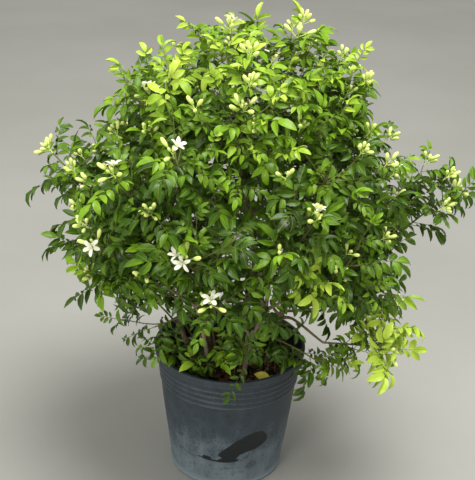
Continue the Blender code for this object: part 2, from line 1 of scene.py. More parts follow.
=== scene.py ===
import random
from functools import partial
from math import atan2, cos, degrees, hypot, pi, radians, sin, sqrt, tau
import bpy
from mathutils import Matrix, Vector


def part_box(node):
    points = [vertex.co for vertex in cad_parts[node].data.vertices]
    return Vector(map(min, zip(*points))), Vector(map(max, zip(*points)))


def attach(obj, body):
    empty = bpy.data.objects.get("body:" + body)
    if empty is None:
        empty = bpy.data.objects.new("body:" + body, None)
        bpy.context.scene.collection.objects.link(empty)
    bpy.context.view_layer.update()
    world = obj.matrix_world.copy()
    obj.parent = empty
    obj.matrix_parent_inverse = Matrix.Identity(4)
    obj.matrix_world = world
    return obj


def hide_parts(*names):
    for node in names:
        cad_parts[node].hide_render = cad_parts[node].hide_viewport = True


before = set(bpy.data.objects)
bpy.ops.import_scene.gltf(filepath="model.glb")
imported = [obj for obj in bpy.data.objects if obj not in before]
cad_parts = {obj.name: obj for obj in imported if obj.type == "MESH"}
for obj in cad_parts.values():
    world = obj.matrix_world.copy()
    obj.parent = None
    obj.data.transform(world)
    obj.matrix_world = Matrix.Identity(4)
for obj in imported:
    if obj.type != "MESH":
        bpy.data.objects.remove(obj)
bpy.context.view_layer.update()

from types import SimpleNamespace

import bmesh
import bpy
import numpy as np
from bpy.props import FloatProperty, FloatVectorProperty, IntProperty, PointerProperty
from mathutils import Matrix, Vector, noise

bl_info = {
    "name": "Potted orange jasmine",
    "version": (1, 0, 0),
    "blender": (4, 5, 0),
    "location": "3D View > Sidebar > Jasmine",
    "description": "Fine pot, potting mix, stems, leafy shoots and blossoms round the packed solids",
    "category": "Add Mesh",
}

# A shrub with pinnate leaves in a plastic nursery pot. Units are metres, +Z is up, and the
# origin is the centre of the pot's underside. Stems, shoots and blossoms grow by the same
# seeded rule as the solids that they replace, so each fine piece stands in its place.

UP = Vector((0.0, 0.0, 1.0))
GOLDEN_ANGLE = pi * (3.0 - sqrt(5.0))
GAP = 0.0003
SEED = 11

# Map of the foliage: a square of tiles. Each holds one look of a leaflet, by age along the
# columns and by side and variation along the rows. The last column is for stalks.
MAP_NAME = "OFBake"
TILES = 8
STALK_COLUMN = 7
YOUNGEST_COLUMN = 6
LOOKS = 4
TILE_MARGIN = 0.06

# Growth rule: crown half width by height, the sprays and the stems
POT_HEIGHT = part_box("pot")[1].z
CROWN = [(0.26, 0.2), (0.36, 0.3), (0.5, 0.335), (0.61, 0.335), (0.7, 0.275), (0.8, 0.215), (0.88, 0.06)]
CROWN_CENTRE = Vector((0.0, 0.0, 0.42))
LIFT = 0.35
SHOOT_COUNT = 35
FILL_TURN = 0.7548777
FILL_CLIMB = 0.5698403
SHOOT_LENGTH = 0.105
SHOOT_SAG = 0.012
SHOOT_SPACING = 0.135
TWIG_BOW = 0.003
SEAT_LENGTH = 0.008
LEAF_OVERHANG = 0.078
BLOOM_OVERHANG = 0.036

# Azimuth in degrees, height, reach, open flowers, buds
SPRAYS = [
    (180, 0.875, 0.020, 1, 3),
    (20, 0.858, 0.105, 0, 4),
    (272, 0.795, 0.190, 0, 4),
    (199, 0.772, 0.165, 1, 2),
    (12, 0.785, 0.208, 0, 0),
    (0, 0.690, 0.255, 0, 0),
    (357, 0.600, 0.400, 0, 4),
    (350, 0.515, 0.330, 0, 0),
    (354, 0.385, 0.325, 0, 0),
    (338, 0.318, 0.328, 0, 4),
    (331, 0.255, 0.265, 0, 0),
    (178, 0.640, 0.345, 0, 4),
    (188, 0.520, 0.325, 0, 0),
    (196, 0.442, 0.290, 0, 0),
    (207, 0.315, 0.230, 0, 0),
    (164, 0.775, 0.205, 0, 0),
    (226, 0.685, 0.290, 1, 3),
    (223, 0.560, 0.320, 1, 2),
    (247, 0.735, 0.260, 1, 2),
    (256, 0.585, 0.315, 2, 2),
    (264, 0.500, 0.305, 1, 2),
    (296, 0.645, 0.300, 1, 2),
    (309, 0.735, 0.270, 0, 0),
    (286, 0.480, 0.290, 0, 0),
    (318, 0.560, 0.320, 0, 0),
    (75, 0.760, 0.235, 1, 3),
    (120, 0.600, 0.325, 1, 2),
]

# Azimuth in degrees, reach and radius of each stem's foot
STEMS = [
    (0, 0.040, 0.0065),
    (8, 0.072, 0.0050),
    (66, 0.056, 0.0045),
    (130, 0.058, 0.0048),
    (190, 0.070, 0.0052),
    (232, 0.060, 0.0045),
    (298, 0.058, 0.0048),
]
TRUNK_REACH = 0.2
TRUNK_HEIGHT = 0.72
STEM_LEAN = 5.0
COLLAR = 0.012
LEADER_POINTS = 6
BOUGH_POINTS = 5
LEAVE_REACH = 0.4
ARRIVE_REACH = 0.35
LEADER_WANDER = 0.006
BOUGH_WANDER = 0.005
FORK_RADIUS = 0.003
TIP_RADIUS = 0.0019
SOIL_TOP = 0.205
SOIL_MOUND = 0.006
SOIL_RELIEF = 0.002
HOLE_DEPTH = 0.035

# The solids' own leaves, whose places the fine leaves take
PETIOLE = 0.018
LEAFLET_PITCH = 0.021
LEAFLET_ROOT = 0.0045
END_LEAFLET = 0.058
ARCH = 2.6
FACE_OUT = 1.3
LEAFY_SHARES = (0.2, 0.58, 0.96)
BLOOMING_SHARES = (0.2, 0.55, 0.88)
LEAF_SPREAD = 0.95
END_SPREAD = 0.45
LEAF_TRIES = 60
TURN_DRAW = 0.5
SPREAD_DRAW = 0.2
SIZE_DRAW = 0.08
FACE_DRAW = 0.5
TRY_WIDER = 0.1
TRY_SMALLER = 0.004
SAME_PLACE = 0.003

# The solids' own flower clusters
STALK_LENGTH = 0.008
FLOWER_LEAN = 0.55
BUD_LEAN = 0.95
LEAN_DRAW = 0.12
PEDICEL_LENGTH = 0.013


def linear(code):
    """An sRGB hex colour as linear red, green and blue, fully opaque."""
    shares = [int(code[place:place + 2], 16) / 255.0 for place in (1, 3, 5)]
    return (*(s / 12.92 if s <= 0.04045 else ((s + 0.055) / 1.055) ** 2.4 for s in shares), 1.0)


def colour_setting(name, code, description):
    return FloatVectorProperty(
        name=name, description=description, subtype="COLOR", size=4, min=0.0, max=1.0, default=linear(code)
    )


def length_setting(name, metres, description):
    return FloatProperty(
        name=name, description=description, default=metres, min=0.0, unit="LENGTH", precision=5
    )


def angle_setting(name, angle, description):
    return FloatProperty(name=name, description=description, default=angle, subtype="ANGLE")


def share_setting(name, share, description):
    return FloatProperty(name=name, description=description, default=share, min=0.0, subtype="FACTOR")


def count_setting(name, count, description, least=0):
    return IntProperty(name=name, description=description, default=count, min=least)


class PotSettings(bpy.types.PropertyGroup):
    rim_radius: length_setting("Rim radius", 0.14, "Outside radius of the lip")
    base_radius: length_setting("Base radius", 0.105, "Radius of the wall at the floor")
    wall: length_setting("Wall", 0.0016, "Thickness of the moulded wall")
    floor: length_setting("Floor", 0.0022, "Thickness of the pot's floor")
    lip_width: length_setting("Lip width", 0.0045, "How far the lip stands out from the wall")
    lip_depth: length_setting("Lip depth", 0.0125, "Height of the lip")
    rib_out: length_setting("Rib", 0.0018, "How far each ring stands out")
    rib_pitch: length_setting("Rib pitch", 0.0116, "Height from one ring to the next")
    rib_first: length_setting("First rib", 0.025, "Depth of the first ring below the rim")
    wobble: length_setting("Wobble", 0.0007, "How far the soft wall is out of round")
    drain_radius: length_setting("Drain hole", 0.008, "Radius of a drain hole in the floor")
    drain_reach: length_setting("Drain reach", 0.078, "Distance of the drain holes from the axis")
    rib_count: count_setting("Ribs", 4, "Number of rings under the lip")
    drain_count: count_setting("Drain holes", 6, "Number of holes in the floor")
    segments: count_setting("Segments", 224, "Facets round the wall", 12)
    plastic: colour_setting("Plastic", "#181e22", "Black polyethylene where nothing lies on it")
    film: colour_setting("Dust film", "#323d45", "Dried water and dust on the wall")
    # Near the foot and on the rings' crests this pale colour also stands for painted light: the wall is left
    # darker towards the top as painted shade, and the crests carry a painted highlight.
    lime: colour_setting("Pale dust", "#6f7c83", "The palest dust, thick near the foot")
    rubbed: colour_setting("Rubbed patch", "#081012", "Bare plastic where the wall was rubbed")


class MixSettings(bpy.types.PropertyGroup):
    chip_count: count_setting("Chips", 1500, "Bark chips on the mix")
    litter_count: count_setting("Litter", 58, "Brown leaflets on the mix")
    heap_count: count_setting("Heap", 22, "How many of them lie together at the front")
    straw_count: count_setting("Straws", 60, "Dry leaf stalks on the mix")
    chip_length: length_setting("Chip length", 0.009, "Typical length of a bark chip")
    crumb: length_setting("Crumb", 0.0016, "Height of the crumbs on the surface")
    dark: colour_setting("Wet peat", "#17120d", "Darkest crumbs of the mix")
    brown: colour_setting("Bark", "#463325", "Composted bark")
    rust: colour_setting("Rust", "#7d4a2a", "Reddish chips and dead leaf")
    pale: colour_setting("Pale bits", "#b3a78f", "Bleached chips and grit")
    # The yellow leaf's two colours are brighter than the leaf's own, as painted light that makes it look lit
    # in the shade of the crown.
    yellow: colour_setting("Yellow leaf", "#fff26a", "Leaf that has just dropped")
    yellow_green: colour_setting("Greener yellow", "#e6e65c", "Parts of it that are still green")
    yellow_speck: colour_setting("Brown specks", "#8a6a2c", "First rot on the yellow leaf")
    dead: colour_setting("Dead leaf", "#7c4f2c", "Leaf that has dried brown")
    dead_dark: colour_setting("Darker dead leaf", "#5a3a20", "Older parts of it")
    dead_speck: colour_setting("Mould", "#2e2014", "Black specks on it")


class StemSettings(bpy.types.PropertyGroup):
    ring_spacing: length_setting("Ring spacing", 0.005, "Distance between the rings of a stem's skin")
    sides: count_setting("Sides", 12, "Facets round a stem", 6)
    knot: share_setting("Knots", 0.13, "Unevenness of a stem as a share of its radius")
    flare: share_setting("Flare", 0.7, "Widening where a bough leaves its stem")
    grey: colour_setting("Grey bark", "#746a5a", "Weathered outer bark")
    tan: colour_setting("Tan bark", "#8a785c", "Paler bark on thinner wood")
    fissure: colour_setting("Fissures", "#3c3023", "Shaded cracks along the wood")


class LeafSettings(bpy.types.PropertyGroup):
    leaflet: length_setting("Leaflet", 0.0272, "Length of a typical leaflet")
    slim: share_setting("Slimness", 0.225, "Half width as a share of length")
    thickness: length_setting("Thickness", 0.0005, "Thickness of a blade at its midrib")
    bend: angle_setting("Bend", 1.2, "How far a leaflet arches down")
    fold: angle_setting("Fold", 0.46, "How far its halves rise from the rib")
    pitch: length_setting("Pitch", 0.0116, "Distance between pairs of leaflets")
    stalk: length_setting("Stalk", 0.0006, "Radius of a leaf's stalk")
    # Inner leaves take the older, darker colours partly as painted shade, by the light of their shell in
    # leaf_age.
    old: colour_setting("Old leaf", "#1f3804", "Upper side of an inner leaf")
    mature: colour_setting("Mature leaf", "#446b10", "Upper side of a grown leaf")
    young: colour_setting("Young leaf", "#88b41f", "Upper side of a leaf that has just grown")
    fresh: colour_setting("Fresh leaf", "#c8e250", "Yellow-green leaf of a new shoot")
    underside: colour_setting("Underside", "#76943f", "Paler lower side")
    twig: colour_setting("Green twig", "#6f8238", "Skin of a green twig")
    wood: colour_setting("Brown twig", "#6c5c42", "Skin of a twig that has turned to wood")


class CrownSettings(bpy.types.PropertyGroup):
    spacing: length_setting("Spacing", 0.042, "Least distance between the tips of outer sprigs")
    inner_spacing: length_setting("Inner spacing", 0.067, "Least distance between the tips of inner sprigs")
    twig_radius: length_setting("Twig radius", 0.0013, "Radius of a sprig's twig where it starts")
    leaf_step: length_setting("Leaf step", 0.0128, "Distance between the leaves of a sprig")
    leafy_length: length_setting("Leafy length", 0.06, "How much of a sprig bears leaves")


class FlowerSettings(bpy.types.PropertyGroup):
    petals: count_setting("Petals", 5, "Number of petals in a flower")
    petal_length: length_setting("Petal length", 0.018, "Length of a petal along its curve")
    petal_half: length_setting("Petal half width", 0.0033, "Half of a petal's width")
    petal_thickness: length_setting("Petal thickness", 0.0006, "Thickness of a petal at its midrib")
    petal_bend: angle_setting("Curl", 1.5, "How far a petal curls back")
    bud_length: length_setting("Bud length", 0.0165, "Length of a grown bud")
    bud_radius: length_setting("Bud radius", 0.0036, "Radius of a grown bud")
    stamen_length: length_setting("Stamen", 0.0075, "Length of a stamen")
    stamens: count_setting("Stamens", 8, "Number of stamens in a flower")
    dropped: count_setting("Dropped petals", 9, "Petals that lie on the mix")
    petal: colour_setting("Petal", "#f6f5ea", "White of an open flower")
    bud: colour_setting("Bud", "#eefa98", "Cream-yellow bud")
    bud_foot: colour_setting("Bud foot", "#b2d043", "Green foot of a bud and its stalk")


class StageSettings(bpy.types.PropertyGroup):
    floor_size: length_setting("Floor size", 40.0, "Side of the floor")
    floor: colour_setting("Floor", "#9c9c97", "Pale matt floor")
    floor_dark: colour_setting("Floor cloud", "#95958f", "Darker clouds of the floor")
    sky: share_setting("Room light", 0.66, "Strength of the even light")
    lamp: FloatProperty(name="Soft box", description="Power of the top light", default=221.0, subtype="POWER")
    fill: FloatProperty(name="Fill", description="Power of the side light", default=55.0, subtype="POWER")
    back: length_setting("Camera distance", 1.77, "Distance of the camera in front of the pot")
    height: length_setting("Camera height", 1.31, "Height of the camera")
    pitch: angle_setting("Look down", radians(25.5), "Downward angle of the camera")
    yaw: angle_setting("Turn", 0.0035, "Turn of the camera to the right")
    roll: angle_setting("Roll", radians(2.3), "Roll of the camera")
    focal: FloatProperty(name="Focal length", description="For a 36 mm sensor", default=82.5, unit="CAMERA")


SETTINGS = {
    "jasmine_pot": PotSettings,
    "jasmine_mix": MixSettings,
    "jasmine_stems": StemSettings,
    "jasmine_leaves": LeafSettings,
    "jasmine_crown": CrownSettings,
    "jasmine_flowers": FlowerSettings,
    "jasmine_stage": StageSettings,
}


def polar(azimuth, reach, height):
    return Vector((reach * cos(azimuth), reach * sin(azimuth), height))


def crown_reach(height):
    """Half width of the crown at a height, between the heights that CROWN gives."""
    return float(np.interp(height, *zip(*CROWN)))


def growth(tip):
    """The direction in which a crown point grows: away from the crown's centre and a little up."""
    return ((tip - CROWN_CENTRE).normalized() + UP * LIFT).normalized()


def spray_tips():
    """Tips of all shoots: the chosen sprays, then an even filling of what they leave open."""
    tips = []
    for azimuth, height, reach, flowers, buds in SPRAYS:
        outer = polar(radians(azimuth), reach, height)
        overhang = BLOOM_OVERHANG if flowers + buds else LEAF_OVERHANG
        tips.append((outer - growth(outer) * overhang, flowers, buds))
    step = 0
    lowest = CROWN[0][0]
    tallest = CROWN[-1][0]
    while len(tips) < SHOOT_COUNT:
        step += 1
        height = lowest + (tallest - lowest) * (step * FILL_CLIMB % 1.0)
        azimuth = tau * (step * FILL_TURN % 1.0)
        outer = polar(azimuth, crown_reach(height), height)
        tip = outer - growth(outer) * LEAF_OVERHANG
        if all((tip - other).length > SHOOT_SPACING for other, _, _ in tips):
            tips.append((tip, 0, 0))
    return tips


def bezier(start, handle, far_handle, end, count):
    points = []
    for index in range(count):
        t = index / (count - 1)
        s = 1.0 - t
        points.append(start * s ** 3 + handle * (3 * s * s * t) + far_handle * (3 * s * t * t) + end * t ** 3)
    return points


def limb(start, start_way, end, end_way, count, rng, wander):
    """A limb that leaves one way, wanders a little, and ends in a straight seat for its shoot."""
    span = (end - start).length
    near = start + start_way * span * LEAVE_REACH
    far = end - end_way * span * ARRIVE_REACH
    points = bezier(start, near, far, end, count)
    for point in points[1:-2]:
        point += Vector([rng.uniform(-wander, wander) for _ in range(3)])
    points[-2] = end - end_way * SEAT_LENGTH
    return points


def assign_tips(tips):
    """Share the shoots among the stems: the top ones on the trunk, the rest by azimuth."""
    groups = [[] for _ in STEMS]
    for index, (tip, _, _) in enumerate(tips):
        if hypot(tip.x, tip.y) < TRUNK_REACH and tip.z > TRUNK_HEIGHT:
            groups[0].append(index)
            continue
        azimuth = atan2(tip.y, tip.x)
        turns = [abs((azimuth - radians(stem[0]) + pi) % tau - pi) for stem in STEMS[1:]]
        groups[1 + turns.index(min(turns))].append(index)
    return groups


def shoot_root(tip):
    return tip - growth(tip) * SHOOT_LENGTH - UP * SHOOT_SAG


def shoot_way(tip):
    return (tip - shoot_root(tip)).normalized()


def twig_points(tip):
    root = shoot_root(tip)
    return [root + shoot_way(tip) * GAP, (root + tip) / 2 + UP * TWIG_BOW, tip]


def along_twig(points, share):
    if share < 0.5:
        return points[0].lerp(points[1], 2 * share)
    return points[1].lerp(points[2], 2 * share - 1)


def best_joint(leader, root):
    """The leader's point that a bough leaves from: near, and low enough for it to climb."""
    costs = []
    for joint in leader[1:-2]:
        flat = hypot(root.x - joint.x, root.y - joint.y)
        steepness = max(0.0, 0.5 * flat - (root.z - joint.z))
        costs.append((root - joint).length + 2.0 * steepness)
    return 1 + costs.index(min(costs))


def tapered(first, last, count):
    return [first + (last - first) * index / (count - 1) for index in range(count)]


def stem_paths(number, tips, members):
    """The leader and the boughs of one stem: points, radii and the shoot that each one bears."""
    azimuth, reach, radius = STEMS[number]
    foot = polar(radians(azimuth), reach, 0.0)
    rng = random.Random(SEED * 100 + number)
    first, *others = sorted(members, key=lambda index: -tips[index][0].z)
    base = Vector((foot.x, foot.y, SOIL_TOP - HOLE_DEPTH))
    collar = Vector((foot.x, foot.y, SOIL_TOP + COLLAR))
    way = (UP + Vector((foot.x, foot.y, 0.0)) * STEM_LEAN).normalized()
    head = tips[first][0]
    leader = limb(collar, way, shoot_root(head), shoot_way(head), LEADER_POINTS, rng, LEADER_WANDER)
    radii = tapered(radius, TIP_RADIUS, LEADER_POINTS)
    paths = [([base] + leader, [radius] + radii, first)]
    for index in others:
        tip = tips[index][0]
        root = shoot_root(tip)
        best = best_joint(leader, root)
        joint = leader[best]
        along = (leader[best + 1] - leader[best - 1]).normalized()
        leave = (along + (root - joint).normalized()).normalized()
        bough = limb(joint, leave, root, shoot_way(tip), BOUGH_POINTS, rng, BOUGH_WANDER)
        sizes = tapered(min(FORK_RADIUS, 0.8 * radii[best]), TIP_RADIUS, BOUGH_POINTS)
        paths.append((bough, sizes, index))
    return paths


def frame_at(origin, along, up_hint):
    """A frame whose Y axis runs along a direction and whose Z axis leans to the hint."""
    y_axis = along.normalized()
    x_axis = y_axis.cross(up_hint).normalized()
    z_axis = x_axis.cross(y_axis)
    turn = Matrix((x_axis, y_axis, z_axis)).transposed()
    return Matrix.Translation(origin) @ turn.to_4x4()


def facing(origin, way):
    """A frame whose Z axis points one way."""
    hint = UP if abs(way.z) < 0.9 else Vector((1.0, 0.0, 0.0))
    x_axis = hint.cross(way).normalized()
    y_axis = way.cross(x_axis)
    turn = Matrix((x_axis, y_axis, way)).transposed()
    return Matrix.Translation(origin) @ turn.to_4x4()


def leaf_frame(point, way, out, azimuth, spread, tilt, size, face_out=FACE_OUT):
    """A leaf's frame on a twig: turned round it, spread from it, its face to the light, scaled."""
    side = way.cross(UP).normalized()
    over = side.cross(way)
    around = side * cos(azimuth) + over * sin(azimuth)
    along = way * cos(spread) + around * sin(spread)
    face = (out * face_out + UP + side * tilt).normalized()
    return frame_at(point, along, face) @ Matrix.Scale(size, 4)


def add_object(name, data):
    """An object of the scene that shows this mesh, light or camera."""
    item = bpy.data.objects.new(name, data)
    bpy.context.scene.collection.objects.link(item)
    return item


class Piece:
    """One piece's mesh, gathered part by part: points, triangles, map places and slots."""

    def __init__(self, name):
        self.name = name
        self.points = []
        self.faces = []
        self.places = []
        self.slots = []
        self.count = 0

    def add(self, points, faces, places, slot=0):
        """Points, triangles by index, and one map place for each corner of each triangle."""
        self.points.append(points)
        self.faces.append(faces + self.count)
        self.places.append(places)
        self.slots.append(np.full(len(faces), slot, np.int32))
        self.count += len(points)

    def build(self, materials, slot, nodes=(), crease=50):
        """Make the object, let it ride on the plant, and let it stand for its solids."""
        mesh = bpy.data.meshes.new(self.name)
        mesh.from_pydata(np.concatenate(self.points), [], np.concatenate(self.faces))
        mesh.polygons.foreach_set("material_index", np.concatenate(self.slots))
        layer = mesh.uv_layers.new(name=MAP_NAME)
        layer.data.foreach_set("uv", np.concatenate(self.places).ravel())
        mesh.validate()
        mesh.shade_smooth()
        mesh.set_sharp_from_angle(angle=radians(crease))
        show(self.name, mesh, materials, nodes)


def show(name, mesh, materials, nodes=()):
    """An object of the scene that rides on the plant and stands for its solids."""
    for material in materials:
        mesh.materials.append(material)
    item = add_object(name, mesh)
    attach(item, "root")
    if nodes:
        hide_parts(*nodes)


def on_tile(places, tile):
    """Map places from 0 to 1 moved on to their tile of the map, clear of its edges."""
    return (np.array(tile) + TILE_MARGIN + (1.0 - 2.0 * TILE_MARGIN) * places) / TILES


def tube_faces(rings, sides):
    """Triangles of a tube and the place of each corner: round it, and along it."""
    faces = []
    places = []
    for ring in range(rings - 1):
        for side in range(sides):
            square = [(side, ring), (side + 1, ring), (side + 1, ring + 1), (side, ring + 1)]
            for trio in (square[:3], square[::2] + square[3:]):
                faces.append([at * sides + turn % sides for turn, at in trio])
                places.append([(turn / sides, at / (rings - 1)) for turn, at in trio])
    last = (rings - 1) * sides
    for side in range(1, sides - 1):
        for start, order in ((0, (0, side + 1, side)), (last, (0, side, side + 1))):
            faces.append([start + index for index in order])
            height = 0.0 if start == 0 else 1.0
            places.append([(0.5 + 0.5 * cos(tau * index / sides),
                            abs(height - 0.1 - 0.1 * sin(tau * index / sides))) for index in order])
    return np.array(faces), np.array(places, float)


TUBE_FACES = {}


def tube(piece, points, radii, sides, tile=None, slot=0, uneven=None):
    """A closed tube through the points, with an optional rule for its unevenness."""
    line = np.array([tuple(point) for point in points])
    ways = np.gradient(line, axis=0)
    ways /= np.linalg.norm(ways, axis=1)[:, None]
    hint = np.eye(3)[np.argmin(np.abs(line[-1] - line[0]))]
    across = np.cross(ways, hint)
    across /= np.linalg.norm(across, axis=1)[:, None]
    over = np.cross(ways, across)
    turns = np.arange(sides) * (tau / sides)
    ring = np.cos(turns)[None, :, None] * across[:, None] + np.sin(turns)[None, :, None] * over[:, None]
    ring *= np.array(radii, float)[:, None, None]
    skin = line[:, None] + ring
    if uneven is not None:
        skin = line[:, None] + ring * uneven(skin)[:, :, None]
    key = (len(line), sides)
    if key not in TUBE_FACES:
        TUBE_FACES[key] = tube_faces(*key)
    faces, places = TUBE_FACES[key]
    if tile is not None:
        places = on_tile(places, tile)
    piece.add(skin.reshape(-1, 3), faces, places, slot)


# Outlines of a leaflet and a petal: places along it, and the half width there as a share of the
# widest. Of a pair of leaflets, one stands further along by this share of the pitch.
LEAFLET_STATIONS = np.array((0.0, 0.15, 0.38, 0.64, 0.86, 1.0))
LEAFLET_WIDTHS = np.array((0.0, 0.64, 1.0, 0.86, 0.42, 0.0))
STAGGER = 0.3
PETAL_STATIONS = np.array((0.0, 0.15, 0.35, 0.55, 0.75, 0.92, 1.0))
PETAL_WIDTHS = np.array((0.0, 0.5, 0.85, 1.0, 0.95, 0.6, 0.0))


def blade_faces(stations, widths):
    """Triangles of a lens-shaped blade, with places on the map, and which are on the upper side.

    Points run: root, tip, then for each station between them left, right, upper and lower rib.
    """
    last = len(stations) - 1
    faces = []
    places = []
    upper = []

    def corner(at, side, rib):
        """A point's index and its place: side -1 is left, 1 is right and 0 is the rib."""
        index = 4 * at - 2 + (rib if side == 0 else (side + 1) // 2)
        return {0: 0, last: 1}.get(at, index), (0.5 + 0.5 * side * widths[at], stations[at])

    for rib in (2, 3):
        for near in range(last):
            far = near + 1
            trios = []
            if far < last:
                trios += [((near, 0), (far, 0), (far, -1)), ((near, 0), (far, 1), (far, 0))]
            if near > 0:
                trios += [((near, -1), (near, 0), (far, -1)), ((near, 0), (near, 1), (far, 1))]
            for trio in trios:
                corners = [corner(*place, rib) for place in (trio if rib == 2 else trio[::-1])]
                faces.append([index for index, _ in corners])
                places.append([place for _, place in corners])
                upper.append(rib == 2)
    return np.array(faces), np.array(places), np.array(upper)


def blades(piece, rows, stations, widths, thickness, tiled=True):
    """Thin closed blades from rows of numbers, all at once.

    A row is origin, direction, face (three numbers each), length, half width, bend, fold,
    twist, wave, sideways curve, column and row of the tile.
    """
    if not rows:
        return
    table = np.array(rows, float)
    count = len(table)
    origin, along, face = table[:, 0:3], table[:, 3:6], table[:, 6:9]
    length, half, bend, fold, twist, wave, sweep = (table[:, index][:, None] for index in range(9, 16))
    along = along / np.linalg.norm(along, axis=1)[:, None]
    across = np.cross(along, face)
    across /= np.linalg.norm(across, axis=1)[:, None]
    face = np.cross(across, along)
    t = stations[None, :]
    bend = np.where(np.abs(bend) < 0.01, 0.01, bend)
    slope = bend * t
    roll = twist * t
    x = sweep * length * t * t
    y = length * np.sin(slope) / bend
    z = -length * (1.0 - np.cos(slope)) / bend

    def beside(u, lift):
        """Points beside the rib: u across, lift along the blade's own face."""
        side = u * np.cos(roll) - lift * np.sin(roll)
        raised = u * np.sin(roll) + lift * np.cos(roll)
        return np.stack((x + side, y + raised * np.sin(slope), z + raised * np.cos(slope)), axis=2)

    width = half * widths
    ripple = wave * width * np.sin(9.0 * t + 7.0 * sweep + 40.0 * half)
    out = width * np.cos(fold)
    rise = width * np.sin(fold)
    thick = np.zeros_like(width) + thickness / 2 * (1.0 - 0.5 * t)
    edges = [beside(-out, rise + ripple), beside(out, rise - ripple), beside(0.0, thick), beside(0.0, -thick)]
    inner = np.stack(edges, axis=2)[:, 1:-1].reshape(count, -1, 3)
    shape = np.concatenate((beside(0.0, 0.0 * width)[:, [0, -1]], inner), axis=1)
    points = (origin[:, None] + shape[:, :, :1] * across[:, None] + shape[:, :, 1:2] * along[:, None]
              + shape[:, :, 2:] * face[:, None])
    faces, places, upper = blade_faces(stations, widths)
    all_faces = faces[None] + np.arange(count)[:, None, None] * points.shape[1]
    all_places = np.repeat(places[None], count, axis=0)
    if tiled:
        down = np.where(upper, 0, LOOKS)[None, :, None, None] * np.array((0, 1))
        all_places = on_tile(all_places, table[:, None, None, 16:18] + down)
    piece.add(points.reshape(-1, 3), all_faces.reshape(-1, 3), all_places.reshape(-1, 3, 2))


class Spray:
    """A piece of foliage: its stalks are added at once and its leaflets are kept as rows."""

    def __init__(self, name, settings):
        self.piece = Piece(name)
        self.settings = settings
        self.leaflets = []

    def leaflet(self, origin, along, face, length, age, rng):
        settings = self.settings
        vary = rng.uniform
        column = round(age * YOUNGEST_COLUMN + vary(-0.45, 0.45))
        column = max(0, min(YOUNGEST_COLUMN, column))
        self.leaflets.append((
            *origin, *along, *face, length, length * settings.slim * vary(0.9, 1.12),
            settings.bend * vary(0.3, 1.5), settings.fold * vary(0.4, 1.6),
            vary(-0.35, 0.35), vary(0.0, 0.16), vary(-0.1, 0.1),
            column, rng.randrange(LOOKS),
        ))

    def leaf(self, place, pairs, age, rng, pitch=None, leaflet=None, petiole=PETIOLE, arch=ARCH):
        """A pinnate leaf: a stalk that arches down, leaflets nearly in pairs, and one at its end."""
        settings = self.settings
        vary = rng.uniform
        pitch = pitch or settings.pitch
        leaflet = leaflet or settings.leaflet
        scale = place.to_scale().y
        turn = place.to_3x3().normalized()

        def on_rib(y):
            return place @ Vector((0.0, y, -arch * y * y))

        last = petiole + pitch * (pairs - 1 + STAGGER)
        reach = last + pitch * STAGGER
        stalk = [on_rib(reach * part) for part in (0.0, 0.35, 0.7, 1.0)]
        sizes = [settings.stalk * part * sqrt(scale) for part in (1.3, 1.0, 0.85, 0.55)]
        row = min(7, int(age * 6.0) + rng.randrange(2))
        tube(self.piece, stalk, sizes, 3, (STALK_COLUMN, row))
        for pair in range(pairs):
            share = (pair + 1) / pairs
            for side in (-1, 1):
                shift = STAGGER if side > 0 else 0.0
                y = petiole + pitch * (pair + shift + vary(-0.05, 0.05))
                angle = radians(68.0 - 14.0 * share + vary(-9.0, 9.0))
                droop = 2.0 * arch * y + vary(-0.15, 0.3)
                along = turn @ Vector((side * sin(angle), cos(angle), -droop * 0.7))
                face = turn @ Vector((vary(-0.3, 0.3) - 0.15 * side, vary(-0.25, 0.25), 1.0))
                length = leaflet * scale * (0.7 + 0.3 * share) * vary(0.88, 1.12)
                self.leaflet(on_rib(y), along, face, length, age, rng)
        along = turn @ Vector((vary(-0.15, 0.15), 1.0, -2.0 * arch * last))
        face = turn @ Vector((vary(-0.25, 0.25), 0.0, 1.0))
        self.leaflet(on_rib(reach), along, face, leaflet * scale * vary(1.05, 1.25), age, rng)

    def twig(self, points, first, last, woody, sides=5):
        """A twig, brown or green by how woody it is."""
        row = round((1.0 - woody) * 6)
        tube(self.piece, points, tapered(first, last, len(points)), sides, (STALK_COLUMN, row))

    def build(self, materials, nodes=()):
        blades(self.piece, self.leaflets, LEAFLET_STATIONS, LEAFLET_WIDTHS, self.settings.thickness)
        self.piece.build(materials, "leaf", nodes)


# Settings that a kind of node has here, unless a call gives others
USUAL = {"Mix": {"data_type": "RGBA"}, "MapRange": {"interpolation_type": "SMOOTHSTEP"}}


def add_node(tree, kind, *inputs, output=None, stops=(), **settings):
    """Add a node with its settings and links, and give its first output or the one named.

    A kind can end in a dot and its operation. Inputs come in the node's own order, each a number,
    a colour or another node's output. A setting whose name has a capital letter is an input by
    name. Stops are those of a ramp.
    """
    kind, _, operation = kind.partition(".")
    node = tree.nodes.new("ShaderNode" + kind)
    if operation:
        node.operation = operation
    pairs = []
    for name, value in {**USUAL.get(kind, {}), **settings}.items():
        if name[0].isupper():
            pairs.append((node.inputs[name], value))
        else:
            setattr(node, name, value)
    pairs += zip([socket for socket in node.inputs if socket.enabled], inputs)
    for socket, value in pairs:
        if isinstance(value, bpy.types.NodeSocket):
            tree.links.new(value, socket)
        else:
            socket.default_value = value
    for index, (place, colour) in enumerate(stops):
        elements = node.color_ramp.elements
        element = elements[index] if index < 2 else elements.new(place)
        element.position = place
        element.color = colour
    if output is not None:
        return node.outputs[output]
    return next(socket for socket in node.outputs if socket.enabled)


def new_material(name, roughness, ior):
    """A material with a Principled shader, and the call that adds a node to it."""
    material = bpy.data.materials.new(name)
    material.use_nodes = True
    shader = material.node_tree.nodes["Principled BSDF"]
    shader.inputs["Roughness"].default_value = roughness
    shader.inputs["IOR"].default_value = ior
    return material, partial(add_node, material.node_tree)


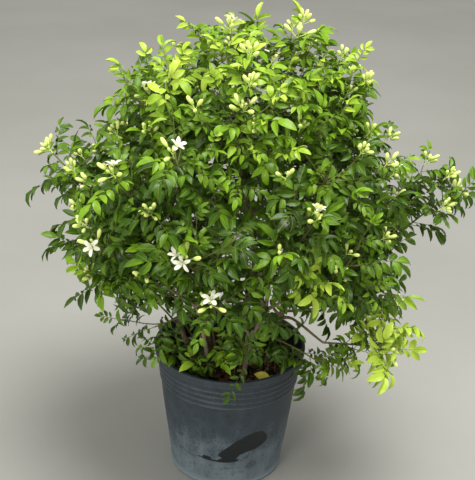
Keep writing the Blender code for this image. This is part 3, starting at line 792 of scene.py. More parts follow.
def dress(material, colour, height, depth, roughness=None):
    """Feed a material its colour, the relief of its skin with its depth in metres, and its gloss."""
    tree = material.node_tree
    shader = tree.nodes["Principled BSDF"]
    tree.links.new(colour, shader.inputs["Base Color"])
    tree.links.new(add_node(tree, "Bump", Height=height, Distance=depth), shader.inputs["Normal"])
    if roughness is not None:
        tree.links.new(roughness, shader.inputs["Roughness"])


def let_through(material, colour, share):
    """Let some light pass a thin blade, mixed with the gloss of its skin."""
    tree = material.node_tree
    gloss = tree.nodes["Principled BSDF"].outputs[0]
    mixed = add_node(tree, "MixShader", share, gloss, add_node(tree, "BsdfTranslucent", colour))
    tree.links.new(mixed, tree.nodes["Material Output"].inputs["Surface"])


def per_metre(millimetres):
    """Scale of a pattern, over places in metres, whose features have this real size."""
    return 1000.0 / millimetres


def leaf_material(leaves):
    """Living leaf under a waxy cuticle, grown on the plant.

    To the eye: soft white glints, a pale sunken midrib, faint side veins 3 mm apart, clouds of
    colour 11 mm across, and a duller, greyer underside. A tile of the map is one leaflet.
    """
    material, node = new_material("waxy_living_leaf", 0.36, 1.45)
    veins = 1000.0 * leaves.leaflet / 3.0
    clouds = 1000.0 * leaves.leaflet / 11.0
    spot = node("UVMap", uv_map=MAP_NAME)
    tiled = node("VectorMath.MULTIPLY", spot, (TILES, TILES, TILES))
    tile = node("VectorMath.FLOOR", tiled)
    inside = node("VectorMath.FRACTION", tiled)
    column = node("SeparateXYZ", tile, output="X")
    row = node("SeparateXYZ", tile, output="Y")
    across = node("SeparateXYZ", inside, output="X")
    along = node("SeparateXYZ", inside, output="Y")
    is_under = node("Math.GREATER_THAN", row, LOOKS - 0.5)
    is_stalk = node("Math.GREATER_THAN", column, STALK_COLUMN - 0.5)
    mottle = node("TexNoise", Vector=tiled, Scale=clouds, Detail=4.0)
    uneven = node("Math.MULTIPLY_ADD", mottle, 0.42, -0.21)
    age = node("Math.MULTIPLY_ADD", column, 1.0 / YOUNGEST_COLUMN, uneven)
    upper = node("ValToRGB", age, stops=(
        (0.0, leaves.old), (0.40, leaves.mature), (0.74, leaves.young), (1.0, leaves.fresh)))
    lower = node("Mix", 0.62, upper, leaves.underside)
    aside = node("Math.ABSOLUTE", node("Math.SUBTRACT", across, 0.5))
    rib = node("MapRange", aside, 0.012, 0.04, 1.0, 0.0)
    slant = node("Math.MULTIPLY_ADD", aside, -0.55, along)
    turns = node("Math.MULTIPLY", slant, veins)
    swing = node("Math.ABSOLUTE", node("Math.SUBTRACT", node("Math.FRACT", turns), 0.5))
    line = node("MapRange", swing, 0.03, 0.16, 1.0, 0.0)
    fade = node("MapRange", aside, 0.02, 0.36, 0.8, 0.1)
    vein = node("Math.MULTIPLY", line, fade)
    skin = node("Mix", is_under, upper, lower)
    pale = node("Mix", 0.45, skin, leaves.fresh)
    drawn = node("Math.MAXIMUM", node("Math.MULTIPLY", rib, 0.75), node("Math.MULTIPLY", vein, 0.28))
    blade = node("Mix", drawn, skin, pale)
    green = node("Math.DIVIDE", row, 6.0, use_clamp=True)
    stalk = node("Mix", green, leaves.wood, leaves.twig)
    colour = node("Mix", is_stalk, blade, stalk)
    gloss = node("Math.MULTIPLY_ADD", mottle, 0.16, 0.25)
    dull = node("Math.MAXIMUM", is_under, is_stalk)
    rough = node("Math.MULTIPLY_ADD", dull, 0.27, gloss)
    low = node("Math.MAXIMUM", rib, vein)
    flesh = node("Math.MULTIPLY_ADD", low, -1.0, mottle)
    height = node("Math.MULTIPLY", flesh, node("Math.SUBTRACT", 1.0, is_stalk))
    dress(material, colour, height, 0.00022, rough)
    glow = node("Mix", 0.35, colour, leaves.fresh)
    let_through(material, glow, 0.3)
    return material


def pot_materials(pot):
    """Blow-moulded black polyethylene, outdoors for years.

    To the eye: dust and dried water dull the outside to slate grey, in runs 13 mm wide and
    200 mm long, in clouds 30 mm across and with wiped spots of 15 mm. It is paler on the 24 mm
    that rain splashes and on the lip's edge. The crests of the rings carry a painted highlight.
    The wall is paler low down and darker towards the top, partly from thicker dust near the foot
    and partly as painted shade from the crown. Where something rubbed it, the bare black plastic
    shows. Inside it is nearly black with a faint film in clouds of 33 mm, partly bare plastic and
    partly painted shade in the pot's hollow. The grit is drawn 1.6 mm coarse, because the real
    dust is too fine to show.
    """
    material, node = new_material("dusty_blow_moulded_polyethylene", 0.6, 1.5)
    where = node("TexCoord", output="Object")
    height = node("SeparateXYZ", where, output="Z")
    across = per_metre(13.0)
    runs = node("Mapping", Vector=where, Scale=(across, across, per_metre(200.0)))
    streaks = node("TexNoise", Vector=runs, Scale=1.0, Detail=5.0, Roughness=0.6)
    clouds = node("TexNoise", Vector=where, Scale=per_metre(30.0), Detail=6.0, Roughness=0.7)
    grit = node("TexNoise", Vector=where, Scale=per_metre(1.6), Detail=2.0)
    spots = node("TexNoise", Vector=where, Scale=per_metre(15.0), Detail=3.0, Roughness=0.65)
    wiped = node("MapRange", spots, 0.5, 0.66, 0.0, -0.16)
    # Paler low on the wall and darker towards the top: partly thicker dust near the foot, partly painted
    # shade from the crown above.
    foot = node("MapRange", height, 0.0, 0.2, 0.38, 0.0)
    splash = node("MapRange", height, 0.002, 0.024, 0.24, 0.0)
    dust_and_painted_light = node("Math.ADD", node("Math.ADD", foot, splash), wiped)
    for layer, share in ((streaks, 0.22), (clouds, 0.56), (grit, 0.34)):
        dust_and_painted_light = node("Math.MULTIPLY_ADD", layer, share, dust_and_painted_light)
    # Paler crests along the rings: a painted highlight on each ring.
    first = POT_HEIGHT - pot.rib_first - RIB_CREST
    turns = node("Math.DIVIDE", node("Math.SUBTRACT", first, height), pot.rib_pitch)
    offset = node("Math.SUBTRACT", turns, node("Math.ROUND", turns))
    crest = node("MapRange", node("Math.ABSOLUTE", offset), 0.02, 0.1, 0.22, 0.0)
    below_lip = node("Math.GREATER_THAN", turns, -0.4)
    above_wall = node("Math.LESS_THAN", turns, pot.rib_count - 0.6)
    ringed = node("Math.MULTIPLY", below_lip, above_wall)
    dust_and_painted_light = node("Math.MULTIPLY_ADD", crest, ringed, dust_and_painted_light)
    offset = node("Math.SUBTRACT", height, POT_HEIGHT - pot.lip_depth + EDGE_RISE)
    edge = node("MapRange", node("Math.ABSOLUTE", offset), 0.0002, 0.0011, 0.22, 0.0)
    dust_and_painted_light = node("Math.ADD", dust_and_painted_light, edge)
    skin = node("ValToRGB", dust_and_painted_light, stops=(
        (0.34, pot.plastic), (0.66, pot.film), (1.0, pot.lime)))
    scuff = node("Attribute", attribute_name="scuff", output="Fac")
    torn = node("Math.MULTIPLY_ADD", grit, 0.004, scuff)
    rubbed = node("MapRange", torn, 0.0015, 0.0027, 1.0, 0.0)
    colour = node("Mix", rubbed, skin, pot.rubbed)
    dull = node("MapRange", dust_and_painted_light, 0.25, 0.75, 0.42, 0.72, interpolation_type="LINEAR")
    rough = node("Math.MULTIPLY_ADD", rubbed, -0.12, dull)
    relief = node("Math.MULTIPLY_ADD", grit, 0.25, clouds)
    dress(material, colour, relief, 0.0002, rough)

    # Inside: nearly black with a faint film, partly bare plastic and partly painted shade in the pot's
    # hollow.
    inner, node = new_material("bare_moulded_polyethylene", 0.5, 1.5)
    where = node("TexCoord", output="Object")
    clouds = node("TexNoise", Vector=where, Scale=per_metre(33.0), Detail=4.0)
    share = node("Math.MULTIPLY", clouds, 0.5)
    colour = node("Mix", share, pot.plastic, pot.film)
    dress(inner, colour, clouds, 0.0002)
    return [material, inner]


def mix_material(mix):
    """Potting mix of peat and composted bark, pressed by watering.

    To the eye: dull, nearly black crumbs 5 mm across, with brown and rusty ones among them and
    pale grains of 3 mm.
    """
    material, node = new_material("watered_potting_mix", 0.93, 1.4)
    where = node("TexCoord", output="Object")
    crumbs = node("TexNoise", Vector=where, Scale=per_metre(4.8), Detail=6.0, Roughness=0.7)
    grains = node("TexVoronoi", Vector=where, Scale=per_metre(3.0), output="Color")
    rounded = node("TexVoronoi", Vector=where, Scale=per_metre(3.0), output="Distance")
    shade = node("SeparateColor", grains, output="Red")
    skin = node("ValToRGB", crumbs, stops=(
        (0.30, mix.dark), (0.62, mix.brown), (0.80, mix.rust)))
    speck = node("MapRange", shade, 0.95, 0.97, 0.0, 1.0)
    colour = node("Mix", speck, skin, mix.pale)
    relief = node("Math.ADD", crumbs, rounded)
    dress(material, colour, relief, 0.0011)
    return material


def chip_material(mix):
    """Chipped pine bark, split along its grain and weathered.

    To the eye: each chip its own brown, a few bleached pale, with a grain 0.8 mm fine. A tile of
    the map is one chip of about 9 mm.
    """
    material, node = new_material("weathered_bark_chip", 0.86, 1.45)
    spot = node("UVMap", uv_map=MAP_NAME)
    tiled = node("VectorMath.MULTIPLY", spot, (TILES, TILES, TILES))
    tile = node("VectorMath.FLOOR", tiled)
    tone = node("TexWhiteNoise", tile)
    chip = 1000.0 * mix.chip_length
    fibres = node("Mapping", Vector=tiled, Scale=(chip / 3.0, chip / 0.8, 1.0))
    grain = node("TexNoise", Vector=fibres, Scale=1.0, Detail=5.0)
    own = node("Math.MULTIPLY", tone, 0.8)
    shade = node("Math.MULTIPLY_ADD", grain, 0.25, own)
    colour = node("ValToRGB", shade, stops=(
        (0.10, mix.dark), (0.55, mix.brown), (0.85, mix.rust), (0.99, mix.pale)))
    dress(material, colour, grain, 0.0004)
    return material


def bark_material(stems):
    """Living bark of a thin stem, grown and weathered.

    To the eye: grey with tan patches 18 mm long, finely fissured along the wood. The fissures
    are drawn 1.1 mm wide, because the real ones are too fine to show.
    """
    material, node = new_material("finely_fissured_bark", 0.82, 1.45)
    where = node("TexCoord", output="Object")
    across = per_metre(1.1)
    runs = node("Mapping", Vector=where, Scale=(across, across, per_metre(9.0)))
    cracks = node("TexNoise", Vector=runs, Scale=1.0, Detail=5.0, Roughness=0.65)
    patches = node("TexNoise", Vector=where, Scale=per_metre(18.0), Detail=3.0)
    paler = node("MapRange", patches, 0.38, 0.62, 0.0, 1.0)
    wood = node("Mix", paler, stems.grey, stems.tan)
    deep = node("MapRange", cracks, 0.34, 0.52, 0.85, 0.0)
    colour = node("Mix", deep, wood, stems.fissure)
    dress(material, colour, cracks, 0.0006)
    return material


def petal_materials(flowers):
    """Soft petal of an open flower, and the smooth skin of a bud, both grown.

    To the eye: the petal is matt white, cream at its foot, with veins 0.3 mm apart along it, and
    some light comes through. The bud is smooth and lime-cream, greener at its foot. The map runs
    once along a petal of 18 mm or a bud of 16 mm.
    """
    petal, node = new_material("soft_white_petal", 0.5, 1.4)
    spot = node("UVMap", uv_map=MAP_NAME)
    veins = 2000.0 * flowers.petal_half / 0.3
    lines = node("Mapping", Vector=spot, Scale=(veins, 3.0, 1.0))
    vein = node("TexNoise", Vector=lines, Scale=1.0, Detail=2.0)
    along = node("SeparateXYZ", spot, output="Y")
    open_part = node("MapRange", along, 0.0, 0.25, 0.0, 1.0)
    base = node("Mix", open_part, flowers.bud, flowers.petal)
    drawn = node("MapRange", vein, 0.35, 0.65, 0.16, 0.0)
    colour = node("Mix", drawn, base, flowers.bud)
    dress(petal, colour, vein, 0.0001)
    let_through(petal, colour, 0.3)

    bud, node = new_material("smooth_cream_bud", 0.42, 1.42)
    spot = node("UVMap", uv_map=MAP_NAME)
    along = node("SeparateXYZ", spot, output="Y")
    blush = node("TexNoise", Vector=spot, Scale=1000.0 * flowers.bud_length / 1.8, Detail=3.0)
    rise = node("Math.MULTIPLY_ADD", blush, 0.25, along)
    ripe = node("MapRange", rise, 0.15, 0.5, 0.0, 1.0)
    colour = node("Mix", ripe, flowers.bud_foot, flowers.bud)
    dress(bud, colour, blush, 0.0001)
    let_through(bud, colour, 0.22)
    return [petal, bud]


def dead_leaf_material(name, main, second, speck):
    """Dead leaf that has dropped and dried.

    To the eye: dull, in two tones that cloud into each other every 8 mm, with dark specks drawn
    1.4 mm wide.
    """
    material, node = new_material(name, 0.58, 1.45)
    where = node("TexCoord", output="Object")
    cloud = node("TexNoise", Vector=where, Scale=per_metre(8.3), Detail=4.0)
    fine = node("TexNoise", Vector=where, Scale=per_metre(1.4), Detail=2.0)
    turned = node("MapRange", cloud, 0.38, 0.66, 0.0, 1.0)
    base = node("Mix", turned, main, second)
    rotten = node("MapRange", fine, 0.66, 0.74, 0.0, 0.7)
    colour = node("Mix", rotten, base, speck)
    dress(material, colour, cloud, 0.0004)
    let_through(material, colour, 0.25)
    return material


def floor_material(stage):
    """Cement screed, floated smooth: a plain matt floor with clouds of tone 800 mm across."""
    material, node = new_material("pale_floated_screed", 0.85, 1.45)
    where = node("TexCoord", output="Object")
    cloud = node("TexNoise", Vector=where, Scale=per_metre(800.0), Detail=4.0)
    sand = node("TexNoise", Vector=where, Scale=per_metre(4.0), Detail=2.0)
    share = node("MapRange", cloud, 0.3, 0.7, 0.0, 1.0)
    colour = node("Mix", share, stage.floor, stage.floor_dark)
    dress(material, colour, sand, 0.0002)
    return material


def values(context, part):
    """The settings of one part of the plant as plain numbers and tuples."""
    group = getattr(context.scene, "jasmine_" + part)
    found = {}
    for name in group.__annotations__:
        value = getattr(group, name)
        found[name] = tuple(value) if hasattr(value, "__len__") else value
    return SimpleNamespace(**found)


def wall_radius(pot, height):
    """Outside radius of the pot's plain wall."""
    return pot.base_radius + (pot.rim_radius - pot.lip_width - pot.base_radius) * height / POT_HEIGHT


def arc(centre, radius, first, last, count):
    """Points of an arc in the section's plane, angles in degrees."""
    points = []
    for index in range(count):
        angle = radians(first + (last - first) * index / (count - 1))
        points.append((centre[0] + radius * cos(angle), centre[1] + radius * sin(angle)))
    return points


# Rubbed patch on the wall, unrolled: its outline as azimuth in degrees and height, then the
# thin smear that runs on from it, as stretches with a radius, and the wall's radius there
PATCH = [
    (-96.0, 0.0850), (-88.0, 0.1010), (-80.6, 0.1150), (-72.0, 0.1250), (-64.0, 0.1310), (-57.0, 0.1290),
    (-50.5, 0.1150), (-50.5, 0.1010), (-56.0, 0.0930), (-62.0, 0.0880), (-70.3, 0.0850), (-76.8, 0.0800),
    (-79.3, 0.0735), (-82.0, 0.0705), (-74.4, 0.0680), (-78.0, 0.0650), (-88.0, 0.0620), (-99.0, 0.0630),
    (-97.0, 0.0690), (-93.0, 0.0730), (-97.5, 0.0790),
]
SMEAR = [
    (-110, 0.0700, -106, 0.0690, 0.0048),
    (-116, 0.0680, -97, 0.0650, 0.0017),
    (-128, 0.0655, -116, 0.0680, 0.0012),
    (-140, 0.0700, -128, 0.0655, 0.0009),
]
SCUFF_RADIUS = 0.118

# Shape of the wall: a ring's height, how far its crest is below its top, the places of its
# section's points as shares of that height, and how fast it falls back under its crest. Then the
# pale line on the lip's edge, the roll of the lip, the foot, and the rings of points down the
# plain wall, close enough for the patch's outline.
RIB_HEIGHT = 0.003
RIB_CREST = 0.0028
RIB_SHARES = (0.0, 0.35, 0.7, 0.9, 1.0, 1.15, 1.4)
RIB_UNDERCUT = 2.5
EDGE_RISE = 0.0006
LIP_ROLL = 0.0013
FOOT_HEIGHT = 0.01
FOOT_ROLL = 0.0012
OUTER_STEPS = 52
INNER_STEPS = 10


def unrolled(azimuth_degrees, height):
    return np.array((radians(azimuth_degrees) * SCUFF_RADIUS, height))


def stretch_distance(here, start, end):
    way = end - start
    share = max(0.0, min(1.0, float((here - start) @ way / (way @ way))))
    return float(np.linalg.norm(here - start - way * share))


def scuff_distance(azimuth, height):
    """Distance in metres to the rubbed patch and its smear, less than zero inside them."""
    here = unrolled(degrees(azimuth), height)
    outline = [unrolled(*spot) for spot in PATCH]
    inside = False
    nearest = 1.0
    for first, second in zip(outline, outline[1:] + outline[:1]):
        nearest = min(nearest, stretch_distance(here, first, second))
        if (first[1] > here[1]) != (second[1] > here[1]):
            crossing = first[0] + (here[1] - first[1]) / (second[1] - first[1]) * (second[0] - first[0])
            inside ^= bool(here[0] < crossing)
    best = -nearest if inside else nearest
    for first, low, second, high, radius in SMEAR:
        best = min(best, stretch_distance(here, unrolled(first, low), unrolled(second, high)) - radius)
    return best


def pot_section(pot):
    """The pot's closed section: down the outside with its lip, rings and foot, up the inside."""
    lip_bottom = POT_HEIGHT - pot.lip_depth
    section = arc((pot.rim_radius - LIP_ROLL, POT_HEIGHT - LIP_ROLL), LIP_ROLL, 90, 0, 5)
    section += arc((pot.rim_radius - LIP_ROLL * 1.5, lip_bottom + LIP_ROLL), LIP_ROLL, 0, -80, 4)
    section.append((wall_radius(pot, lip_bottom), lip_bottom - LIP_ROLL))
    for rib in range(pot.rib_count):
        top = POT_HEIGHT - pot.rib_first - rib * pot.rib_pitch
        for share in RIB_SHARES:
            rise = sin(0.5 * pi * share) if share <= 1.0 else max(0.0, 1.0 - RIB_UNDERCUT * (share - 1.0))
            height = top - RIB_HEIGHT * share
            section.append((wall_radius(pot, height) + pot.rib_out * rise, height))
    lowest_rib = section[-1][1]
    for step in range(1, OUTER_STEPS):
        height = lowest_rib + (FOOT_HEIGHT - lowest_rib) * step / OUTER_STEPS
        section.append((wall_radius(pot, height), height))
    foot = wall_radius(pot, FOOT_HEIGHT)
    section += [(foot + 0.0002, FOOT_HEIGHT), (foot + 0.0013, FOOT_HEIGHT - 0.0014)]
    section += arc((pot.base_radius - FOOT_ROLL, FOOT_ROLL), FOOT_ROLL, 0, -90, 4)
    section += [(0.0, 0.0), (0.0, pot.floor), (wall_radius(pot, pot.floor) - pot.wall, pot.floor)]
    for step in range(1, INNER_STEPS + 1):
        height = pot.floor + (POT_HEIGHT - 0.001 - pot.floor) * step / INNER_STEPS
        section.append((wall_radius(pot, height) - pot.wall, height))
    section.append((wall_radius(pot, POT_HEIGHT) - pot.wall + 0.0006, POT_HEIGHT))
    return section + section[:1]


def working_solid(name, bm):
    """An object that holds a working mesh until the cut is made."""
    mesh = bpy.data.meshes.new(name)
    bm.to_mesh(mesh)
    bm.free()
    return add_object(name, mesh)


def make_pot(pot):
    """The turned wall, a little out of round, with its drain holes cut."""
    bm = bmesh.new()
    points = [bm.verts.new((radius, 0.0, height)) for radius, height in pot_section(pot)]
    for first, second in zip(points, points[1:]):
        bm.edges.new((first, second))
    bmesh.ops.spin(bm, geom=bm.verts[:] + bm.edges[:], cent=(0, 0, 0), axis=(0, 0, 1),
                   angle=tau, steps=pot.segments, use_merge=True)
    bmesh.ops.remove_doubles(bm, verts=bm.verts, dist=0.00002)
    bmesh.ops.recalc_face_normals(bm, faces=bm.faces)
    body = working_solid("pot_body", bm)
    bm = bmesh.new()
    for index in range(pot.drain_count):
        spot = polar(tau * (index + 0.5) / pot.drain_count, pot.drain_reach, 0.0)
        bmesh.ops.create_cone(bm, cap_ends=True, segments=32, radius1=pot.drain_radius,
                              radius2=pot.drain_radius, depth=0.02, matrix=Matrix.Translation(spot))
    cutter = working_solid("drain_holes", bm)
    cut = body.modifiers.new("drain", "BOOLEAN")
    cut.object = cutter
    cut.operation = "DIFFERENCE"
    bpy.context.view_layer.update()
    made = bpy.data.meshes.new_from_object(body.evaluated_get(bpy.context.evaluated_depsgraph_get()))
    for item in (body, cutter):
        bpy.data.objects.remove(item, do_unlink=True)
    for face in made.polygons:
        x, y, z = face.center
        inside = hypot(x, y) < wall_radius(pot, z) - pot.wall * 0.6 and z > pot.floor * 0.5
        face.material_index = int(inside)
    scuff = made.attributes.new("scuff", "FLOAT", "POINT")
    for vertex in made.vertices:
        x, y, z = vertex.co
        azimuth = atan2(y, x)
        scuff.data[vertex.index].value = scuff_distance(azimuth, z)
        soft = sin(pi * min(1.0, z / POT_HEIGHT)) + 0.25
        push = pot.wobble * soft * (sin(2 * azimuth + 0.7) + 0.6 * sin(3 * azimuth + 30 * z))
        reach = hypot(x, y)
        if reach > pot.drain_reach + 2 * pot.drain_radius:
            vertex.co.x += x / reach * push
            vertex.co.y += y / reach * push
    made.shade_smooth()
    made.set_sharp_from_angle(angle=radians(38))
    show("nursery_pot", made, pot_materials(pot), ["pot"])


def lumps(spot, waves):
    """Unevenness at a place: noise of several sizes, each with its waves a metre and its share."""
    return sum(share * noise.noise(spot * scale) for scale, share in waves)


def soil_height(pot, x, y):
    """The uneven top of the potting mix, as in its solid."""
    fade = max(0.0, 1.0 - hypot(x, y) / (wall_radius(pot, SOIL_TOP) - pot.wall - GAP))
    relief = sin(61 * x + 1.3) * cos(73 * y) + 0.6 * sin(140 * x - 90 * y)
    return SOIL_TOP + (SOIL_MOUND + SOIL_RELIEF * relief) * fade


def spot_on_mix(rng, reach):
    """A random place on the mix, this far from its middle at most."""
    return polar(rng.uniform(0, tau), reach * sqrt(rng.random()), 0.0)


CRUMBS = ((190.0, 1.0), (420.0, 0.6), (70.0, 0.8))
KNOTS = ((130.0, 1.0), (420.0, 0.5))
CHIP_REACH = 0.975
LITTER_REACH = 0.8


def make_mix(pot, mix):
    """The potting mix: a crumbly top on the same rise as its solid, and a plain body below."""
    rings = 52
    segments = 150
    rim = wall_radius(pot, SOIL_TOP) - pot.wall - GAP
    points = [(0.0, 0.0, soil_height(pot, 0, 0))]
    for ring in range(1, rings + 1):
        for segment in range(segments):
            spot = polar(tau * segment / segments, rim * ring / rings, 0.0)
            height = soil_height(pot, spot.x, spot.y)
            inward = min(1.0, (rings - ring) / 3.0)
            crumb = mix.crumb * lumps(spot, CRUMBS) * (0.4 + 0.6 * inward)
            points.append((spot.x, spot.y, height + crumb))
    low = pot.floor + GAP
    low_rim = wall_radius(pot, low) - pot.wall - GAP
    for segment in range(segments):
        points.append(tuple(polar(tau * segment / segments, low_rim, low)))
    points.append((0.0, 0.0, low))
    faces = []
    for segment in range(segments):
        after = (segment + 1) % segments
        faces.append((0, 1 + segment, 1 + after))
        for ring in range(rings):
            near = 1 + ring * segments
            far = near + segments
            faces.append((near + segment, far + segment, far + after))
            faces.append((near + segment, far + after, near + after))
        bottom = 1 + rings * segments
        faces.append((bottom + segment, len(points) - 1, bottom + after))
    mesh = bpy.data.meshes.new("potting_mix")
    mesh.from_pydata(points, [], faces)
    mesh.shade_smooth()
    mesh.set_sharp_from_angle(angle=radians(60))
    show("potting_mix", mesh, [mix_material(mix)], ["soil"])


def make_chips(pot, mix):
    """Bark chips on the mix, each a split, uneven block that lies nearly flat."""
    rng = random.Random(SEED + 1)
    vary = rng.uniform
    piece = Piece("bark_chips")
    block = np.array([(x, y, z) for x in (-1, 1) for y in (-1, 1) for z in (-1, 1)], float)
    faces = np.array([(0, 1, 3), (0, 3, 2), (4, 6, 7), (4, 7, 5), (0, 4, 5), (0, 5, 1),
                      (2, 3, 7), (2, 7, 6), (0, 2, 6), (0, 6, 4), (1, 5, 7), (1, 7, 3)])
    flat = 0.5 + 0.45 * block[:, :2] * (0.8 + 0.2 * block[:, 2:])
    rim = wall_radius(pot, SOIL_TOP) - pot.wall
    for _ in range(mix.chip_count):
        spot = spot_on_mix(rng, rim * CHIP_REACH)
        length = mix.chip_length * vary(0.35, 1.0) * (1.6 if rng.random() < 0.12 else 1.0)
        half = np.array((length * vary(0.25, 0.6), length, length * vary(0.12, 0.3))) / 2
        uneven = 1.0 + np.array([[vary(-0.35, 0.2) for _ in range(3)] for _ in range(8)])
        tilt = Matrix.Rotation(rng.gauss(0, 0.35), 3, "X") @ Matrix.Rotation(rng.gauss(0, 0.35), 3, "Y")
        turn = np.array(Matrix.Rotation(vary(0, tau), 3, "Z") @ tilt)
        inset = max(0.0, hypot(spot.x, spot.y) + length / 2 - rim + 0.001)
        spot -= spot.normalized() * inset
        height = soil_height(pot, spot.x, spot.y) + half[2] * vary(0.3, 1.5)
        points = (block * half * uneven) @ turn.T + np.array((spot.x, spot.y, height))
        tile = (rng.randrange(TILES), rng.randrange(TILES))
        piece.add(points, faces, on_tile(flat[faces], tile))
    piece.build([chip_material(mix)], "soil", crease=20)


# The yellowed leaflet, then where the brown litter is heaped
FALLEN_PLACE = Vector((0.061, -0.05, 0.0))
FALLEN_WAY = Vector((cos(radians(165)), sin(radians(165)), 0.0))
FALLEN_FACE = (0.1, -0.6, 0.8)
FALLEN_LENGTH = 0.032
FALLEN_HALF = 0.0088
FALLEN_LIFT = 0.005
LITTER_CENTRE = Vector((-0.004, -0.082, 0.0))
LITTER_SLIM = 0.24
LITTER_THICKNESS = 0.0004


def make_litter(pot, mix):
    """The yellowed leaflet, then brown leaflets, heaped and strewn on the mix, and dry stalks."""
    # The yellowed leaflet is partly its own yellow and partly painted light, brighter than the leaf itself.
    yellow = dead_leaf_material("freshly_dropped_yellow_leaf", mix.yellow, mix.yellow_green, mix.yellow_speck)
    brown = dead_leaf_material("dried_brown_leaf", mix.dead, mix.dead_dark, mix.dead_speck)
    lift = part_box("fallen_leaf")[0].z + FALLEN_LIFT
    start = FALLEN_PLACE - FALLEN_WAY * FALLEN_LENGTH / 2
    fallen = Piece("yellowed_leaf")
    row = (start.x, start.y, lift, *FALLEN_WAY, *FALLEN_FACE, FALLEN_LENGTH, FALLEN_HALF,
           0.15, 0.25, 0.1, 0.1, 0.08, 0, 0)
    blades(fallen, [row], LEAFLET_STATIONS, LEAFLET_WIDTHS, 0.0006, tiled=False)
    fallen.build([yellow], "fallen_leaf", ["fallen_leaf"])

    rng = random.Random(SEED + 2)
    vary = rng.uniform
    litter = Piece("brown_leaf_litter")
    rows = []
    rim = wall_radius(pot, SOIL_TOP) - pot.wall
    for index in range(mix.litter_count):
        if index < mix.heap_count:
            spot = LITTER_CENTRE + Vector((rng.gauss(0, 0.022), rng.gauss(0, 0.012), 0.0))
        else:
            spot = spot_on_mix(rng, rim * LITTER_REACH)
        length = vary(0.018, 0.036)
        reach = hypot(spot.x, spot.y)
        if reach > rim - length:
            spot *= (rim - length) / reach
        lift = soil_height(pot, spot.x, spot.y) + vary(0.002, 0.006)
        turn = vary(0, tau)
        bend = vary(-0.8, 1.4)
        fold = vary(0.1, 0.9)
        along = (cos(turn), sin(turn), vary(-0.1, 0.25))
        face = (vary(-0.3, 0.3), vary(-0.3, 0.3), 1.0)
        rows.append((spot.x, spot.y, lift, *along, *face, length, length * LITTER_SLIM, bend, fold,
                     vary(-0.6, 0.6), 0.2, vary(-0.15, 0.15), 0, 0))
    blades(litter, rows, LEAFLET_STATIONS, LEAFLET_WIDTHS, LITTER_THICKNESS, tiled=False)
    for _ in range(mix.straw_count):
        spot = spot_on_mix(rng, rim * LITTER_REACH)
        turn = vary(0, tau)
        span = vary(0.012, 0.032)
        line = []
        for share, bow in ((-0.5, 0.0), (0.0, 0.002), (0.5, 0.0)):
            x = spot.x + span * share * cos(turn)
            y = spot.y + span * share * sin(turn) + bow
            line.append((x, y, soil_height(pot, x, y) + 0.0022))
        tube(litter, line, [0.0006, 0.0007, 0.0005], 5)
    litter.build([brown], "soil")


def smooth_line(points, values, spacing):
    """More points on a smooth curve through the given ones, with the values between them."""
    dense = []
    sizes = []
    for index, (first, second) in enumerate(zip(points, points[1:])):
        before = points[max(0, index - 1)]
        after = points[min(len(points) - 1, index + 2)]
        span = (second - first).length
        count = 1 + max(1, round(span / spacing))
        leave = (second - before).normalized() * span / 3
        arrive = (after - first).normalized() * span / 3
        dense += bezier(first, first + leave, second - arrive, second, count)[:-1]
        sizes += tapered(values[index], values[index + 1], count)[:-1]
    return dense + [points[-1]], sizes + [values[-1]]


def make_stems(stems, tips):
    """Woody stems: each leader and its boughs as uneven round wood that flares at its forks."""
    bark = bark_material(stems)

    def uneven(skin):
        return 1.0 + stems.knot * np.array([[lumps(Vector(spot), KNOTS) for spot in ring] for ring in skin])

    for number, members in enumerate(assign_tips(tips)):
        piece = Piece(f"woody_stem_{number + 1}")
        for order, (points, radii, _) in enumerate(stem_paths(number, tips, members)):
            line, sizes = smooth_line(points, radii, stems.ring_spacing)
            if order:
                for index in range(min(6, len(sizes))):
                    sizes[index] *= 1.0 + stems.flare * (1.0 - index / 6) ** 2
            else:
                for index, point in enumerate(line):
                    rise = max(0.0, 1.0 - abs(point.z - SOIL_TOP) / 0.02)
                    sizes[index] *= 1.0 + 0.25 * rise
            tube(piece, line, sizes, stems.sides, uneven=uneven)
        piece.build([bark], "bark", [f"stem_{number + 1}"], crease=70)


def kept_leaves(number, tip, blooming):
    """Places of a shoot's leaves, read from the same draws as in its solid.

    A draw that had no room there was passed over, so each place is kept only if the tip of
    its end leaflet lies on the solid.
    """
    rng = random.Random(SEED * 1000 + number)
    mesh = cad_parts[f"shoot_{number + 1:02d}"].data
    solid = np.array([vertex.co for vertex in mesh.vertices])
    turn = rng.uniform(0.0, tau)
    out = (tip - CROWN_CENTRE).normalized()
    shares = BLOOMING_SHARES if blooming else LEAFY_SHARES
    kept = []
    for leaf, share in enumerate(shares):
        pairs = 1 if leaf == 0 else 2
        at_end = leaf == len(shares) - 1 and not blooming
        foot = PETIOLE + (pairs - 1) * LEAFLET_PITCH + LEAFLET_ROOT
        end = foot + END_LEAFLET
        for attempt in range(LEAF_TRIES):
            spread = (END_SPREAD if at_end else LEAF_SPREAD) + rng.uniform(-SPREAD_DRAW, SPREAD_DRAW)
            wander = rng.uniform(-TURN_DRAW, TURN_DRAW) * (1 + TRY_WIDER * attempt)
            azimuth = turn + leaf * GOLDEN_ANGLE + wander
            size = 1.0 + rng.uniform(-SIZE_DRAW, SIZE_DRAW) - TRY_SMALLER * attempt
            point = along_twig(twig_points(tip), share)
            tilt = rng.uniform(-FACE_DRAW, FACE_DRAW)
            place = leaf_frame(point, shoot_way(tip), out, azimuth, spread, tilt, size)
            tip_point = np.array(place @ Vector((0.0, end, -ARCH * end * end)))
            if np.linalg.norm(solid - tip_point, axis=1).min() < SAME_PLACE:
                kept.append((place, pairs + 2))
                break
    return kept


